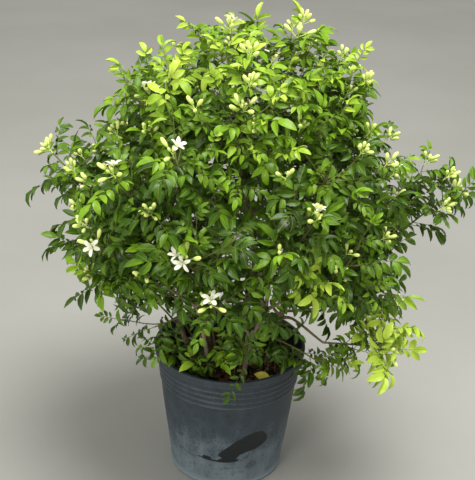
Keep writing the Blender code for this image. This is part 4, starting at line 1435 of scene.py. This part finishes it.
# Reach of the sprigs' tips by height, on the right, at the back, on the left and in front
SKIN_HEIGHTS = (0.33, 0.37, 0.41, 0.45, 0.5, 0.55, 0.6, 0.65, 0.7, 0.75, 0.8, 0.84, 0.88)
SKIN_REACHES = (
    (0.27, 0.30, 0.30, 0.285, 0.285, 0.30, 0.315, 0.27, 0.225, 0.185, 0.180, 0.15, 0.05),
    (0.20, 0.24, 0.26, 0.275, 0.285, 0.29, 0.285, 0.26, 0.220, 0.185, 0.155, 0.10, 0.02),
    (0.16, 0.18, 0.24, 0.26, 0.25, 0.285, 0.295, 0.205, 0.128, 0.140, 0.165, 0.10, 0.02),
    (0.20, 0.23, 0.25, 0.27, 0.285, 0.295, 0.29, 0.28, 0.255, 0.215, 0.165, 0.09, 0.02),
)

# Sprigs fill each shell of the crown between two heights with this many tries, and leave the
# boughs above a third height, and the shoots' twigs at these shares
SHELL_BOTTOM = 0.32
SHELL_HEIGHT = 0.53
SHELL_TRIES = 5200
LOWEST_FORK = 0.29
FORK_SHARES = (0.05, 0.25, 0.45, 0.65, 0.82)

# What counts against a sprig's way, in metres of length: a turn back, a metre of fall, and a
# metre that it is shorter than this
TURN_COST = 0.045
FALL_COST = 1.2
SHORT_COST = 3.0
SHORTEST = 0.035

# Age of a leaf, from 0 to 1, which sets its colour: the oldest, and what light, the twig's tip and the
# crown's top add. The share for light is painted light: leaves on the lit outer skin are made paler, and
# those in the inner shells darker as painted shade.
OLDEST = 0.02
LIT = 0.2
AT_TIP = 0.25
AT_TOP = 0.58

# Sprigs: how strongly and how freshly one grows, and its leaves' pairs and petiole
VIGOURS = (0.72, 0.85, 0.95, 1.05, 1.2)
FLUSHES = (-0.12, -0.06, 0.0, 0.06, 0.2)
SPRIG_PAIRS = (2, 2, 3, 3, 1)
SPRIG_PETIOLE = 0.011

# A shoot's own leaves: leaflets over the mix, elsewhere, and how much longer the fresh ones are,
# then their pitch and petiole. Then the leaves between them: their number, pairs and petiole
LOW_LEAFLET = 0.019
FULL_LEAFLET = 0.03
FRESH_GROWTH = 0.006
FULL_PITCH = 0.015
FULL_PETIOLE = 0.014
MORE_LEAVES = 8
MORE_PAIRS = (2, 3, 3)
MORE_PETIOLE = 0.013

# Tips of sprigs that stray out of the crown: the low yellow-green spray, then single ones
STRAY_TIPS = [
    (0.282, -0.085, 0.345), (0.290, -0.115, 0.322), (0.264, -0.130, 0.305), (0.285, -0.070, 0.315),
    (0.255, -0.090, 0.335), (0.265, -0.050, 0.350), (0.355, -0.020, 0.605), (0.385, -0.040, 0.590),
    (0.325, 0.020, 0.615), (0.345, -0.060, 0.565), (0.200, -0.110, 0.290), (0.235, -0.090, 0.300),
    (-0.200, 0.010, 0.765), (-0.185, -0.030, 0.750), (0.195, 0.030, 0.790), (0.205, -0.010, 0.760),
    (-0.275, -0.060, 0.470), (-0.205, -0.070, 0.335),
]


def leafy_floor(azimuth):
    """Lowest height of the sprigs' tips: higher in front, where the bare stems show."""
    front = max(0.0, -sin(azimuth))
    back = max(0.0, sin(azimuth))
    return 0.335 + 0.16 * front ** 0.7 + 0.05 * back


def skin_reach(azimuth, height):
    """Reach of the crown's leafy skin, blended between its four sides."""
    right, back, left, front = [np.interp(height, SKIN_HEIGHTS, reaches) for reaches in SKIN_REACHES]
    across = right if cos(azimuth) > 0.0 else left
    along = back if sin(azimuth) > 0.0 else front
    return across * cos(azimuth) ** 2 + along * sin(azimuth) ** 2


def sprig_tips(crown):
    """Even places for sprigs in shells of the crown: the outer skin, then further in."""
    chosen = []
    # The last number of a shell is its light: it paints the leaves of the outer skin paler and those further
    # in darker, as painted light and shade. It also scales how far the tips draw back, and only the outer
    # shell bears buds.
    shells = (
        (1.0, crown.spacing, 1.0),
        (0.80, crown.inner_spacing * 0.85, 0.6),
        (0.56, crown.inner_spacing, 0.3),
    )
    for share, spacing, light in shells:
        taken = np.empty((0, 3))
        for step in range(1, SHELL_TRIES):
            height = SHELL_BOTTOM + SHELL_HEIGHT * (step * FILL_CLIMB % 1.0)
            azimuth = tau * (step * FILL_TURN % 1.0)
            bumps = noise.noise(Vector((2.4 * cos(azimuth), 2.4 * sin(azimuth), 11.0 * height)))
            reach = skin_reach(azimuth, height) * (share + 0.15 * bumps * share)
            tip = polar(azimuth, reach, CROWN_CENTRE.z + (height - CROWN_CENTRE.z) * (0.4 + 0.6 * share))
            if tip.z < leafy_floor(azimuth) + 0.03 * bumps:
                continue
            spot = np.array(tip)
            if len(taken) and np.linalg.norm(taken - spot, axis=1).min() < spacing:
                continue
            taken = np.vstack((taken, spot))
            chosen.append((tip - growth(tip) * (0.028 + 0.022 * sin(5.1 * step) * light), light))
    chosen += [(Vector(tip), 1.0) for tip in STRAY_TIPS]
    return chosen


def side_places(tips):
    """Places on boughs and shoots that sprigs can leave from: point, direction and shoot."""
    places = []
    for index, (tip, _, _) in enumerate(tips):
        points = twig_points(tip)
        for share in FORK_SHARES:
            places.append((along_twig(points, share), shoot_way(tip), index))
    for number, members in enumerate(assign_tips(tips)):
        for points, radii, index in stem_paths(number, tips, members):
            line, _ = smooth_line(points, radii, 0.02)
            for first, second in zip(line[1:], line[2:]):
                if first.z > LOWEST_FORK:
                    places.append((first, (second - first).normalized(), index))
    return places


def best_place(places, spots, ways, tip):
    """The place from which a sprig reaches its tip by the shortest natural way."""
    gap = np.array(tip) - spots
    span = np.linalg.norm(gap, axis=1)
    turn = (gap * ways).sum(axis=1) / np.maximum(span, 0.001)
    fall = np.maximum(0.0, -gap[:, 2])
    short = np.maximum(0.0, SHORTEST - span)
    cost = span + TURN_COST * (1.0 - turn) + FALL_COST * fall + SHORT_COST * short
    return places[int(np.argmin(cost))]


def leaf_age(point, light, along, bonus):
    """How young a leaf is, which sets its colour: tips and the top are the youngest, and the lit skin of the
    crown is made younger and paler as painted light, the inner shells older and darker as painted shade.
    """
    high = max(0.0, min(1.0, (point.z - 0.45) / 0.4)) ** 3
    return OLDEST + LIT * light + AT_TIP * along + AT_TOP * high * light + bonus


# Places where the newest yellow-green leaves stand out: point, reach and how much younger
FRESH_SPRAYS = [
    (Vector((0.295, -0.10, 0.300)), 0.115, 0.95),
    (Vector((0.130, -0.23, 0.495)), 0.060, 0.70),
    (Vector((0.00, -0.12, 0.84)), 0.12, 0.16),
    (Vector((0.12, -0.20, 0.76)), 0.08, 0.14),
    (Vector((-0.22, -0.16, 0.70)), 0.10, 0.12),
]


def freshness(point):
    """How much younger the leaves are here than their place in the crown alone makes them."""
    total = 0.0
    for spot, reach, more in FRESH_SPRAYS:
        total += more * sqrt(max(0.0, 1.0 - (point - spot).length / reach))
    return total


def grow_sprig(spray, start, start_way, tip, light, crown, rng):
    """A side twig from its place on a bough to its tip, with alternate leaves near the tip."""
    vary = rng.uniform
    span = (tip - start).length
    way = growth(tip)
    leave = (start_way * 0.5 + (tip - start).normalized()).normalized()
    points = bezier(start, start + leave * span * 0.35, tip - way * span * 0.3, tip, 6)
    for index in (1, 2, 3, 4):
        points[index] -= UP * (0.05 * span * sin(pi * index / 5))
    thick = crown.twig_radius * (0.75 + 2.5 * min(0.12, span))
    woody = 0.8 if span > 0.11 else 0.3
    spray.twig(points, thick, 0.0007, woody)
    lengths = [0.0]
    for first, second in zip(points, points[1:]):
        lengths.append(lengths[-1] + (second - first).length)
    total = lengths[-1]
    turn = vary(0, tau)
    vigour = rng.choice(VIGOURS) * (1.0 + 0.15 * min(1.0, freshness(tip)))
    flush = rng.choice(FLUSHES)
    back = 0.0
    order = 0
    while back < min(crown.leafy_length, total * 0.85):
        run = total - back
        index = max(i for i in range(len(points) - 1) if lengths[i] <= run)
        share = (run - lengths[index]) / (lengths[index + 1] - lengths[index])
        point = points[index].lerp(points[index + 1], share)
        direction = (points[index + 1] - points[index]).normalized()
        out = (point - CROWN_CENTRE).normalized()
        spread = (0.3 if order == 0 else 1.0) + vary(-0.25, 0.25)
        azimuth = turn + order * GOLDEN_ANGLE + vary(-0.4, 0.4)
        tilt = vary(-0.9, 0.9)
        along = 1.0 - back / crown.leafy_length
        size = vigour * (0.8 + 0.26 * (1.0 - along)) * vary(0.88, 1.12)
        place = leaf_frame(point, direction, out, azimuth, spread, tilt, size, 0.85)
        age = leaf_age(point, light, along, flush + freshness(point)) + vary(-0.1, 0.1)
        pairs = rng.choice(SPRIG_PAIRS)
        spray.leaf(place, pairs, age, rng, petiole=SPRIG_PETIOLE, arch=vary(1.5, 4.5))
        back += crown.leaf_step * vary(0.75, 1.25)
        order += 1


def over_mix(point):
    """Whether a leaf starts in front of the bare stems or among them."""
    return point.y < 0.03 and point.z < 0.44 - 0.28 * point.y and -0.14 < point.x < 0.12


def make_foliage(leaves, crown, tips):
    """A fine leafy shoot for each solid one, with the sprigs that its bough carries."""
    material = leaf_material(leaves)
    sprays = []
    for number, (tip, flowers, buds) in enumerate(tips):
        spray = Spray(f"leafy_shoot_{number + 1:02d}", leaves)
        rng = random.Random(SEED * 3000 + number)
        points, _ = smooth_line(twig_points(tip), [1, 1, 1], 0.012)
        spray.twig(points, 0.0017, 0.0012, 0.35, sides=7)
        out = (tip - CROWN_CENTRE).normalized()
        for place, pairs in kept_leaves(number, tip, flowers + buds > 0):
            point = place.translation
            fresh = min(1.0, freshness(point))
            leaflet = LOW_LEAFLET if over_mix(point) else FULL_LEAFLET + FRESH_GROWTH * fresh
            age = leaf_age(point, 1.0, 0.4, freshness(point)) + rng.uniform(-0.15, 0.15)
            spray.leaf(place, pairs, age, rng, FULL_PITCH, leaflet, FULL_PETIOLE)
        turn = rng.uniform(0, tau)
        ends = 0.99 if flowers + buds == 0 else 0.9
        for order in range(MORE_LEAVES):
            share = 0.12 + (ends - 0.12) * order / (MORE_LEAVES - 1) + rng.uniform(-0.03, 0.03)
            point = along_twig(twig_points(tip), min(1.0, share))
            azimuth = turn + order * GOLDEN_ANGLE
            spread = LEAF_SPREAD + rng.uniform(-0.25, 0.25)
            size = rng.uniform(0.8, 1.05)
            if over_mix(point) and order % 2:
                continue
            tilt = rng.uniform(-0.6, 0.6)
            place = leaf_frame(point, shoot_way(tip), out, azimuth, spread, tilt, size, 0.9)
            age = leaf_age(point, 1.0, share, freshness(point)) + rng.uniform(-0.12, 0.12)
            spray.leaf(place, rng.choice(MORE_PAIRS), age, rng, petiole=MORE_PETIOLE)
        sprays.append(spray)
    places = side_places(tips)
    spots = np.array([tuple(place[0]) for place in places])
    ways = np.array([tuple(place[1]) for place in places])
    rng = random.Random(SEED * 4000)
    for tip, light in sprig_tips(crown):
        start, start_way, owner = best_place(places, spots, ways, tip)
        grow_sprig(sprays[owner], start, start_way, tip, light, crown, rng)
    for number, spray in enumerate(sprays):
        spray.build([material], [f"shoot_{number + 1:02d}"])


# How far a flower's petals lean out, in radians, and a bud's outline as places and widths
OPENINGS = (0.22, 0.34, 0.5)
BUD_PROFILE = ((0.0, 0.4), (0.12, 0.62), (0.35, 0.86), (0.62, 1.0), (0.82, 0.86), (0.94, 0.52), (1.0, 0.1))


def add_flower(piece, flowers, origin, way, rng):
    """An open flower: five petals that curl back, pale stamens and a style."""
    vary = rng.uniform
    frame_here = facing(origin, way)
    turn = frame_here.to_3x3()
    start = vary(0, tau)
    opening = rng.choice(OPENINGS)
    rows = []
    for petal in range(flowers.petals):
        azimuth = start + tau * petal / flowers.petals + vary(-0.2, 0.2)
        lean = opening + vary(-0.1, 0.1)
        along = turn @ polar(azimuth, sin(lean), cos(lean))
        face = turn @ polar(azimuth, -cos(lean), sin(lean))
        root = frame_here @ polar(azimuth, 0.001, 0.0)
        rows.append((*root, *along, *face, flowers.petal_length * vary(0.9, 1.08),
                     flowers.petal_half * vary(0.9, 1.1), flowers.petal_bend * vary(0.7, 1.15),
                     vary(0.0, 0.3), vary(-0.3, 0.3), 0.05, vary(-0.08, 0.08), 0, 0))
    blades(piece, rows, PETAL_STATIONS, PETAL_WIDTHS, flowers.petal_thickness, tiled=False)
    for stamen in range(flowers.stamens):
        azimuth = start + tau * stamen / flowers.stamens
        length = flowers.stamen_length * vary(0.75, 1.05)
        places = ((0.0006, 0.001), (0.0016, length * 0.6), (0.0021, length))
        line = [frame_here @ polar(azimuth, reach, height) for reach, height in places]
        tube(piece, line, [0.0003, 0.00022, 0.00045], 4)
    line = [frame_here @ Vector((0, 0, height)) for height in (-0.0015, 0.003, 0.0075, 0.009)]
    tube(piece, line, [0.0008, 0.0005, 0.0004, 0.0009], 6, slot=1)


def add_bud(piece, origin, way, length, radius, sides=8):
    """A long bud that is widest past its middle."""
    line = [origin + way * length * share for share, _ in BUD_PROFILE]
    tube(piece, line, [radius * size for _, size in BUD_PROFILE], sides, slot=1)


def add_cluster(piece, root, way, open_count, bud_count, flowers, rng):
    """A loose head of buds and flowers on a branching stalk."""
    knee = root + way * 0.01
    tube(piece, [root, knee], [0.0009, 0.0007], 5, slot=1)
    frame_here = facing(knee, way).to_3x3()
    turn = rng.uniform(0, tau)
    total = open_count + bud_count
    for index in range(total):
        lean = 0.25 + 0.75 * (index + 0.5) / total + rng.uniform(-0.15, 0.15)
        out = frame_here @ polar(turn + index * GOLDEN_ANGLE, sin(lean), cos(lean))
        start = root.lerp(knee, 1.0 - 0.45 * index / total)
        end = start + out * rng.uniform(0.006, 0.011)
        middle = start.lerp(end, 0.5) - UP * 0.0004
        tube(piece, [start, middle, end], [0.0006, 0.0005, 0.0006], 4, slot=1)
        grown = rng.uniform(0.55, 1.0)
        if index < open_count:
            add_flower(piece, flowers, end, out, rng)
        else:
            add_bud(piece, end, out, flowers.bud_length * grown, flowers.bud_radius * (0.6 + 0.4 * grown))


def make_dropped_petals(pot, flowers, materials):
    """Petals that have dropped on the front of the mix."""
    rng = random.Random(SEED * 9000)
    piece = Piece("dropped_petals")
    rows = []
    for _ in range(flowers.dropped):
        x = 0.025 + rng.gauss(0, 0.03)
        y = -0.09 + rng.gauss(0, 0.01)
        along = (rng.uniform(-1, 1), rng.uniform(-1, 1), rng.uniform(0.0, 0.4))
        face = (rng.uniform(-0.4, 0.4), rng.uniform(-0.4, 0.4), 1.0)
        rows.append((x, y, soil_height(pot, x, y) + 0.004, *along, *face, flowers.petal_length * 0.7,
                     flowers.petal_half, 0.8, 0.3, 0.2, 0.1, 0.0, 0, 0))
    blades(piece, rows, PETAL_STATIONS, PETAL_WIDTHS, flowers.petal_thickness, tiled=False)
    piece.build(materials, "petal")


def make_blossoms(pot, flowers, tips, ends):
    """A fine cluster for each solid one, and bud clusters at the ends of the lit sprigs."""
    materials = petal_materials(flowers)
    blooming = [spray for spray in tips if spray[1] + spray[2] > 0]
    for number, (tip, open_count, bud_count) in enumerate(blooming):
        rng = random.Random(SEED * 5000 + number)
        piece = Piece(f"flower_cluster_{number + 1:02d}")
        way = shoot_way(tip)
        root = tip + way * GAP
        knee = root + way * STALK_LENGTH
        tube(piece, [root - way * 0.004, root, knee], [0.0009, 0.0012, 0.001], 7, slot=1)
        total = open_count + bud_count
        frame_here = facing(knee, way).to_3x3()
        turn = rng.uniform(0.0, tau)
        for index in range(total):
            lean = (FLOWER_LEAN if index < open_count else BUD_LEAN) + rng.uniform(-LEAN_DRAW, LEAN_DRAW)
            out = frame_here @ polar(turn + tau * index / total, sin(lean), cos(lean))
            start = root.lerp(knee, 0.95 - 0.5 * index / total)
            end = start + out * PEDICEL_LENGTH * rng.uniform(0.9, 1.2)
            middle = start.lerp(end, 0.5) - UP * 0.0006
            tube(piece, [start, middle, end], [0.0008, 0.0006, 0.0008], 5, slot=1)
            if index < open_count:
                add_flower(piece, flowers, end, out, rng)
            else:
                add_bud(piece, end, out, flowers.bud_length * 1.1, flowers.bud_radius, 10)
        more = random.Random(SEED * 6000 + number)
        for index in range(3):
            out = frame_here @ polar(turn + index * GOLDEN_ANGLE + 0.5, sin(0.3), cos(0.3))
            end = knee + out * 0.007
            tube(piece, [knee, end], [0.0006, 0.0006], 4, slot=1)
            add_bud(piece, end, out, flowers.bud_length * more.uniform(0.5, 0.8), flowers.bud_radius * 0.7)
        piece.build(materials, "petal", [f"blossom_{number + 1:02d}"])
    make_dropped_petals(pot, flowers, materials)
    rng = random.Random(SEED * 7000)
    piece = Piece("bud_clusters")
    for tip, light in ends:
        high = max(0.0, min(1.0, (tip.z - 0.4) / 0.35))
        if light > 0.9 and rng.random() < 0.1 + 0.36 * high:
            open_count = 1 if rng.random() < 0.05 else 0
            bud_count = rng.randrange(3, 7)
            way = growth(tip)
            add_cluster(piece, tip - way * 0.002, way, open_count, bud_count, flowers, rng)
    piece.build(materials, "petal")


# Low suckers on the mix and over the rim: foot, tip, leaf size and age
SUCKERS = [
    ((-0.030, -0.060), (-0.050, -0.085, 0.252), 0.80, 0.20),
    ((-0.010, -0.045), (-0.012, -0.070, 0.272), 0.85, 0.55),
    ((0.010, -0.050), (0.018, -0.078, 0.292), 0.95, 0.74),
    ((0.030, -0.040), (0.045, -0.055, 0.262), 0.75, 0.30),
    ((0.072, -0.020), (0.092, -0.020, 0.258), 0.75, 0.30),
    ((0.085, -0.020), (0.108, -0.030, 0.266), 0.80, 0.40),
    ((-0.072, -0.060), (-0.066, -0.100, 0.266), 0.65, 0.60),
    ((-0.085, 0.000), (-0.120, -0.020, 0.272), 0.75, 0.55),
    ((-0.095, -0.020), (-0.150, -0.050, 0.270), 0.75, 0.55),
    ((-0.090, -0.045), (-0.142, -0.078, 0.266), 0.80, 0.50),
    ((-0.060, -0.020), (-0.078, -0.035, 0.262), 0.80, 0.25),
    ((-0.045, -0.075), (-0.080, -0.080, 0.246), 0.80, 0.35),
    ((0.045, 0.000), (0.060, -0.010, 0.275), 0.80, 0.35),
    ((0.000, 0.030), (0.010, 0.045, 0.260), 0.70, 0.25),
    ((0.050, 0.050), (0.080, 0.070, 0.260), 0.70, 0.30),
    ((0.095, -0.050), (0.125, -0.070, 0.262), 0.75, 0.50),
]


# Broad old leaves among the suckers: foot, direction, face, length and age
BROAD_LEAVES = [
    ((-0.028, -0.062, 0.258), (-1.0, -0.35, -0.10), (0.1, -0.45, 1.0), 0.046, 0.06),
    ((-0.030, -0.070, 0.240), (-0.8, -0.50, -0.20), (-0.2, -0.40, 1.0), 0.036, 0.14),
    ((0.090, -0.045, 0.236), (0.6, -0.60, -0.10), (0.2, -0.40, 1.0), 0.034, 0.20),
    ((-0.064, -0.102, 0.270), (-0.6, -0.80, 0.32), (0.1, -0.60, 1.0), 0.034, 0.85),
]

# Thin bare stems that fan out of the mix and end among the leaves: foot and tip
THIN_STEMS = [
    ((-0.055, 0.000), (-0.175, 0.020, 0.400)),
    ((-0.048, 0.018), (-0.150, 0.060, 0.415)),
    ((-0.034, 0.032), (-0.105, 0.075, 0.425)),
    ((-0.018, 0.040), (-0.062, 0.090, 0.440)),
    ((-0.004, 0.052), (-0.018, 0.095, 0.440)),
    ((-0.062, -0.014), (-0.160, -0.040, 0.385)),
    ((-0.026, 0.010), (-0.080, 0.020, 0.420)),
    ((0.050, 0.022), (0.150, 0.040, 0.370)),
    ((0.030, 0.045), (0.085, 0.100, 0.420)),
]


# A sucker's leaves: their number, the share of its length between them, leaflet and petiole
SUCKER_LEAVES = 6
SUCKER_STEP = 0.12
SUCKER_LEAFLET = 0.025
SUCKER_PETIOLE = 0.009
RUNNER_COUNT = 26


def clear_of_wall(pot, row):
    """Whether a leaflet, given as a row for its blade, stays off the pot's wall."""
    start = Vector(row[0:3])
    way = Vector(row[3:6]).normalized()
    length = row[9]
    bend = row[11]
    for share in (0.0, 0.33, 0.67, 1.0):
        spot = start + way * length * share - UP * length * 0.5 * bend * share * share
        aside = abs(hypot(spot.x, spot.y) - wall_radius(pot, spot.z))
        if spot.z < POT_HEIGHT + 0.003 and aside < 0.007:
            return False
    return True


def make_suckers(pot, leaves):
    """Low leafy suckers, some over the rim, with broad old leaves, thin bare stems and runners."""
    spray = Spray("low_suckers", leaves)
    rng = random.Random(SEED * 8000)
    vary = rng.uniform
    for (x, y), tip, size, age in SUCKERS:
        start = Vector((x, y, soil_height(pot, x, y) - 0.004))
        end = Vector(tip)
        lean = Vector((end.x - x, end.y - y, 0.0)).normalized()
        points = bezier(start, start + UP * (end.z - start.z) * 0.8, end - lean * 0.02 + UP * 0.008, end, 7)
        spray.twig(points, 0.0011, 0.0006, 0.5)
        turn = vary(0, tau)
        for order in range(SUCKER_LEAVES):
            share = 1.0 - SUCKER_STEP * order
            index = min(5, int(share * 6))
            point = points[index].lerp(points[index + 1], share * 6 - index) if share < 1.0 else points[-1]
            way = (points[index + 1] - points[index]).normalized()
            side = Vector((cos(turn), sin(turn), 0.4))
            place = leaf_frame(point, way, side, turn + order * GOLDEN_ANGLE, 0.4 if order == 0 else 1.1,
                               vary(-0.5, 0.5), size * vary(0.8, 1.1), 0.4)
            spray.leaf(place, rng.choice((1, 1, 2)), age + vary(-0.15, 0.15), rng,
                       leaflet=SUCKER_LEAFLET, petiole=SUCKER_PETIOLE, arch=vary(2.0, 5.0))
    spray.leaflets = [row for row in spray.leaflets if clear_of_wall(pot, row)]
    for origin, along, face, length, age in BROAD_LEAVES:
        spray.leaflet(Vector(origin), Vector(along), Vector(face), length, age, rng)
    for (x, y), tip in THIN_STEMS:
        start = Vector((x, y, soil_height(pot, x, y) - 0.004))
        end = Vector(tip)
        points = bezier(start, start + UP * 0.075, start.lerp(end, 0.7) + UP * 0.01, end, 9)
        spray.twig(points, 0.0023, 0.0013, 1.0)
    for _ in range(RUNNER_COUNT):
        x = vary(-0.112, -0.03)
        y = vary(-0.085, 0.03)
        turn = vary(-0.6, 0.6)
        span = vary(0.03, 0.06)
        rise = vary(0.01, 0.034)
        line = []
        for share in (0.0, 0.25, 0.5, 0.75, 1.0):
            place = Vector((x, y, 0.0)) + polar(turn, span * (share - 0.5), 0.0)
            place *= min(1.0, 0.117 / max(0.001, place.length))
            place.z = soil_height(pot, place.x, place.y) - 0.003 + rise * sin(pi * share) ** 0.8
            line.append(place)
        spray.twig(smooth_line(line, [1, 1, 1, 1, 1], 0.006)[0], 0.0009, 0.0006, 1.0)
    spray.build([leaf_material(leaves)])


# Place and width of the soft box and of the fill, what both aim at, and the colours of light
SOFT_BOX = (Vector((0.6, -0.6, 4.3)), 2.5)
FILL = (Vector((-1.6, -3.0, 1.5)), 1.6)
LAMP_AIM = Vector((0.0, 0.0, 0.55))
LAMP_COLOUR = (1.0, 0.985, 0.955)
SKY_COLOUR = (1.0, 0.99, 0.95, 1.0)


def make_stage(stage):
    """A pale floor, an even room light, a soft box overhead with a fill, and the camera."""
    scene = bpy.context.scene
    half = stage.floor_size / 2
    mesh = bpy.data.meshes.new("stage_floor")
    corners = [(-half, -half, 0), (half, -half, 0), (half, half, 0), (-half, half, 0)]
    mesh.from_pydata(corners, [], [(0, 1, 2, 3)])
    mesh.materials.append(floor_material(stage))
    floor = add_object("stage_floor", mesh)
    world = bpy.data.worlds.new("studio")
    world.use_nodes = True
    background = world.node_tree.nodes["Background"]
    background.inputs["Color"].default_value = SKY_COLOUR
    background.inputs["Strength"].default_value = stage.sky
    scene.world = world
    for name, spot, size, power in (("soft_box", *SOFT_BOX, stage.lamp), ("fill", *FILL, stage.fill)):
        light = bpy.data.lights.new(name, "AREA")
        light.shape = "DISK"
        light.size = size
        light.energy = power
        light.color = LAMP_COLOUR
        lamp = add_object(name, light)
        lamp.location = spot
        lamp.rotation_euler = (LAMP_AIM - spot).to_track_quat("-Z", "Y").to_euler()
    data = bpy.data.cameras.new("camera")
    data.lens = stage.focal
    data.sensor_width = 36.0
    place = Matrix.Translation((0.0, -stage.back, stage.height))
    for angle, axis in ((-stage.yaw, "Z"), (pi / 2 - stage.pitch, "X"), (stage.roll, "Z")):
        place = place @ Matrix.Rotation(angle, 4, axis)
    scene.camera = add_object("camera", data)
    scene.camera.matrix_world = place
    scene.view_settings.view_transform = "Standard"


class JASMINE_OT_stage(bpy.types.Operator):
    """Set up the floor, the lights and the camera"""
    bl_idname = "jasmine.stage"
    bl_label = "Stage"

    def execute(self, context):
        make_stage(values(context, "stage"))
        return {"FINISHED"}


class JASMINE_OT_pot(bpy.types.Operator):
    """Mould the nursery pot"""
    bl_idname = "jasmine.pot"
    bl_label = "Nursery pot"

    def execute(self, context):
        make_pot(values(context, "pot"))
        return {"FINISHED"}


class JASMINE_OT_mix(bpy.types.Operator):
    """Fill the pot with potting mix, bark chips and litter"""
    bl_idname = "jasmine.mix"
    bl_label = "Potting mix and litter"

    def execute(self, context):
        pot = values(context, "pot")
        mix = values(context, "mix")
        make_mix(pot, mix)
        make_chips(pot, mix)
        make_litter(pot, mix)
        return {"FINISHED"}


class JASMINE_OT_stems(bpy.types.Operator):
    """Grow the woody stems and their boughs"""
    bl_idname = "jasmine.stems"
    bl_label = "Woody stems"

    def execute(self, context):
        make_stems(values(context, "stems"), spray_tips())
        return {"FINISHED"}


class JASMINE_OT_foliage(bpy.types.Operator):
    """Grow the leafy shoots and their sprigs, and the low suckers"""
    bl_idname = "jasmine.foliage"
    bl_label = "Leafy shoots"

    def execute(self, context):
        leaves = values(context, "leaves")
        make_foliage(leaves, values(context, "crown"), spray_tips())
        make_suckers(values(context, "pot"), leaves)
        return {"FINISHED"}


class JASMINE_OT_blossoms(bpy.types.Operator):
    """Open the flowers and set the buds"""
    bl_idname = "jasmine.blossoms"
    bl_label = "Flowers and buds"

    def execute(self, context):
        ends = sprig_tips(values(context, "crown"))
        make_blossoms(values(context, "pot"), values(context, "flowers"), spray_tips(), ends)
        return {"FINISHED"}


class JASMINE_PT_panel(bpy.types.Panel):
    """Lists the steps that make the plant"""
    bl_label = "Potted orange jasmine"
    bl_idname = "JASMINE_PT_panel"
    bl_space_type = "VIEW_3D"
    bl_region_type = "UI"
    bl_category = "Jasmine"

    def draw(self, context):
        for operator in OPERATORS:
            self.layout.operator(operator.bl_idname)
        for name, group in SETTINGS.items():
            box = self.layout.box()
            box.label(text=group.__name__)
            for field in group.__annotations__:
                box.prop(getattr(context.scene, name), field)


OPERATORS = (
    JASMINE_OT_stage,
    JASMINE_OT_pot,
    JASMINE_OT_mix,
    JASMINE_OT_stems,
    JASMINE_OT_foliage,
    JASMINE_OT_blossoms,
)


CLASSES = (*SETTINGS.values(), *OPERATORS, JASMINE_PT_panel)


def register():
    for group in CLASSES:
        bpy.utils.register_class(group)
    for name, group in SETTINGS.items():
        setattr(bpy.types.Scene, name, PointerProperty(type=group))


def unregister():
    for name in SETTINGS:
        delattr(bpy.types.Scene, name)
    for group in reversed(CLASSES):
        bpy.utils.unregister_class(group)


def main():
    register()
    bpy.ops.jasmine.stage()
    bpy.ops.jasmine.pot()
    bpy.ops.jasmine.mix()
    bpy.ops.jasmine.stems()
    bpy.ops.jasmine.foliage()
    bpy.ops.jasmine.blossoms()
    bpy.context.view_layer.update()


if __name__ == "__main__":
    main()
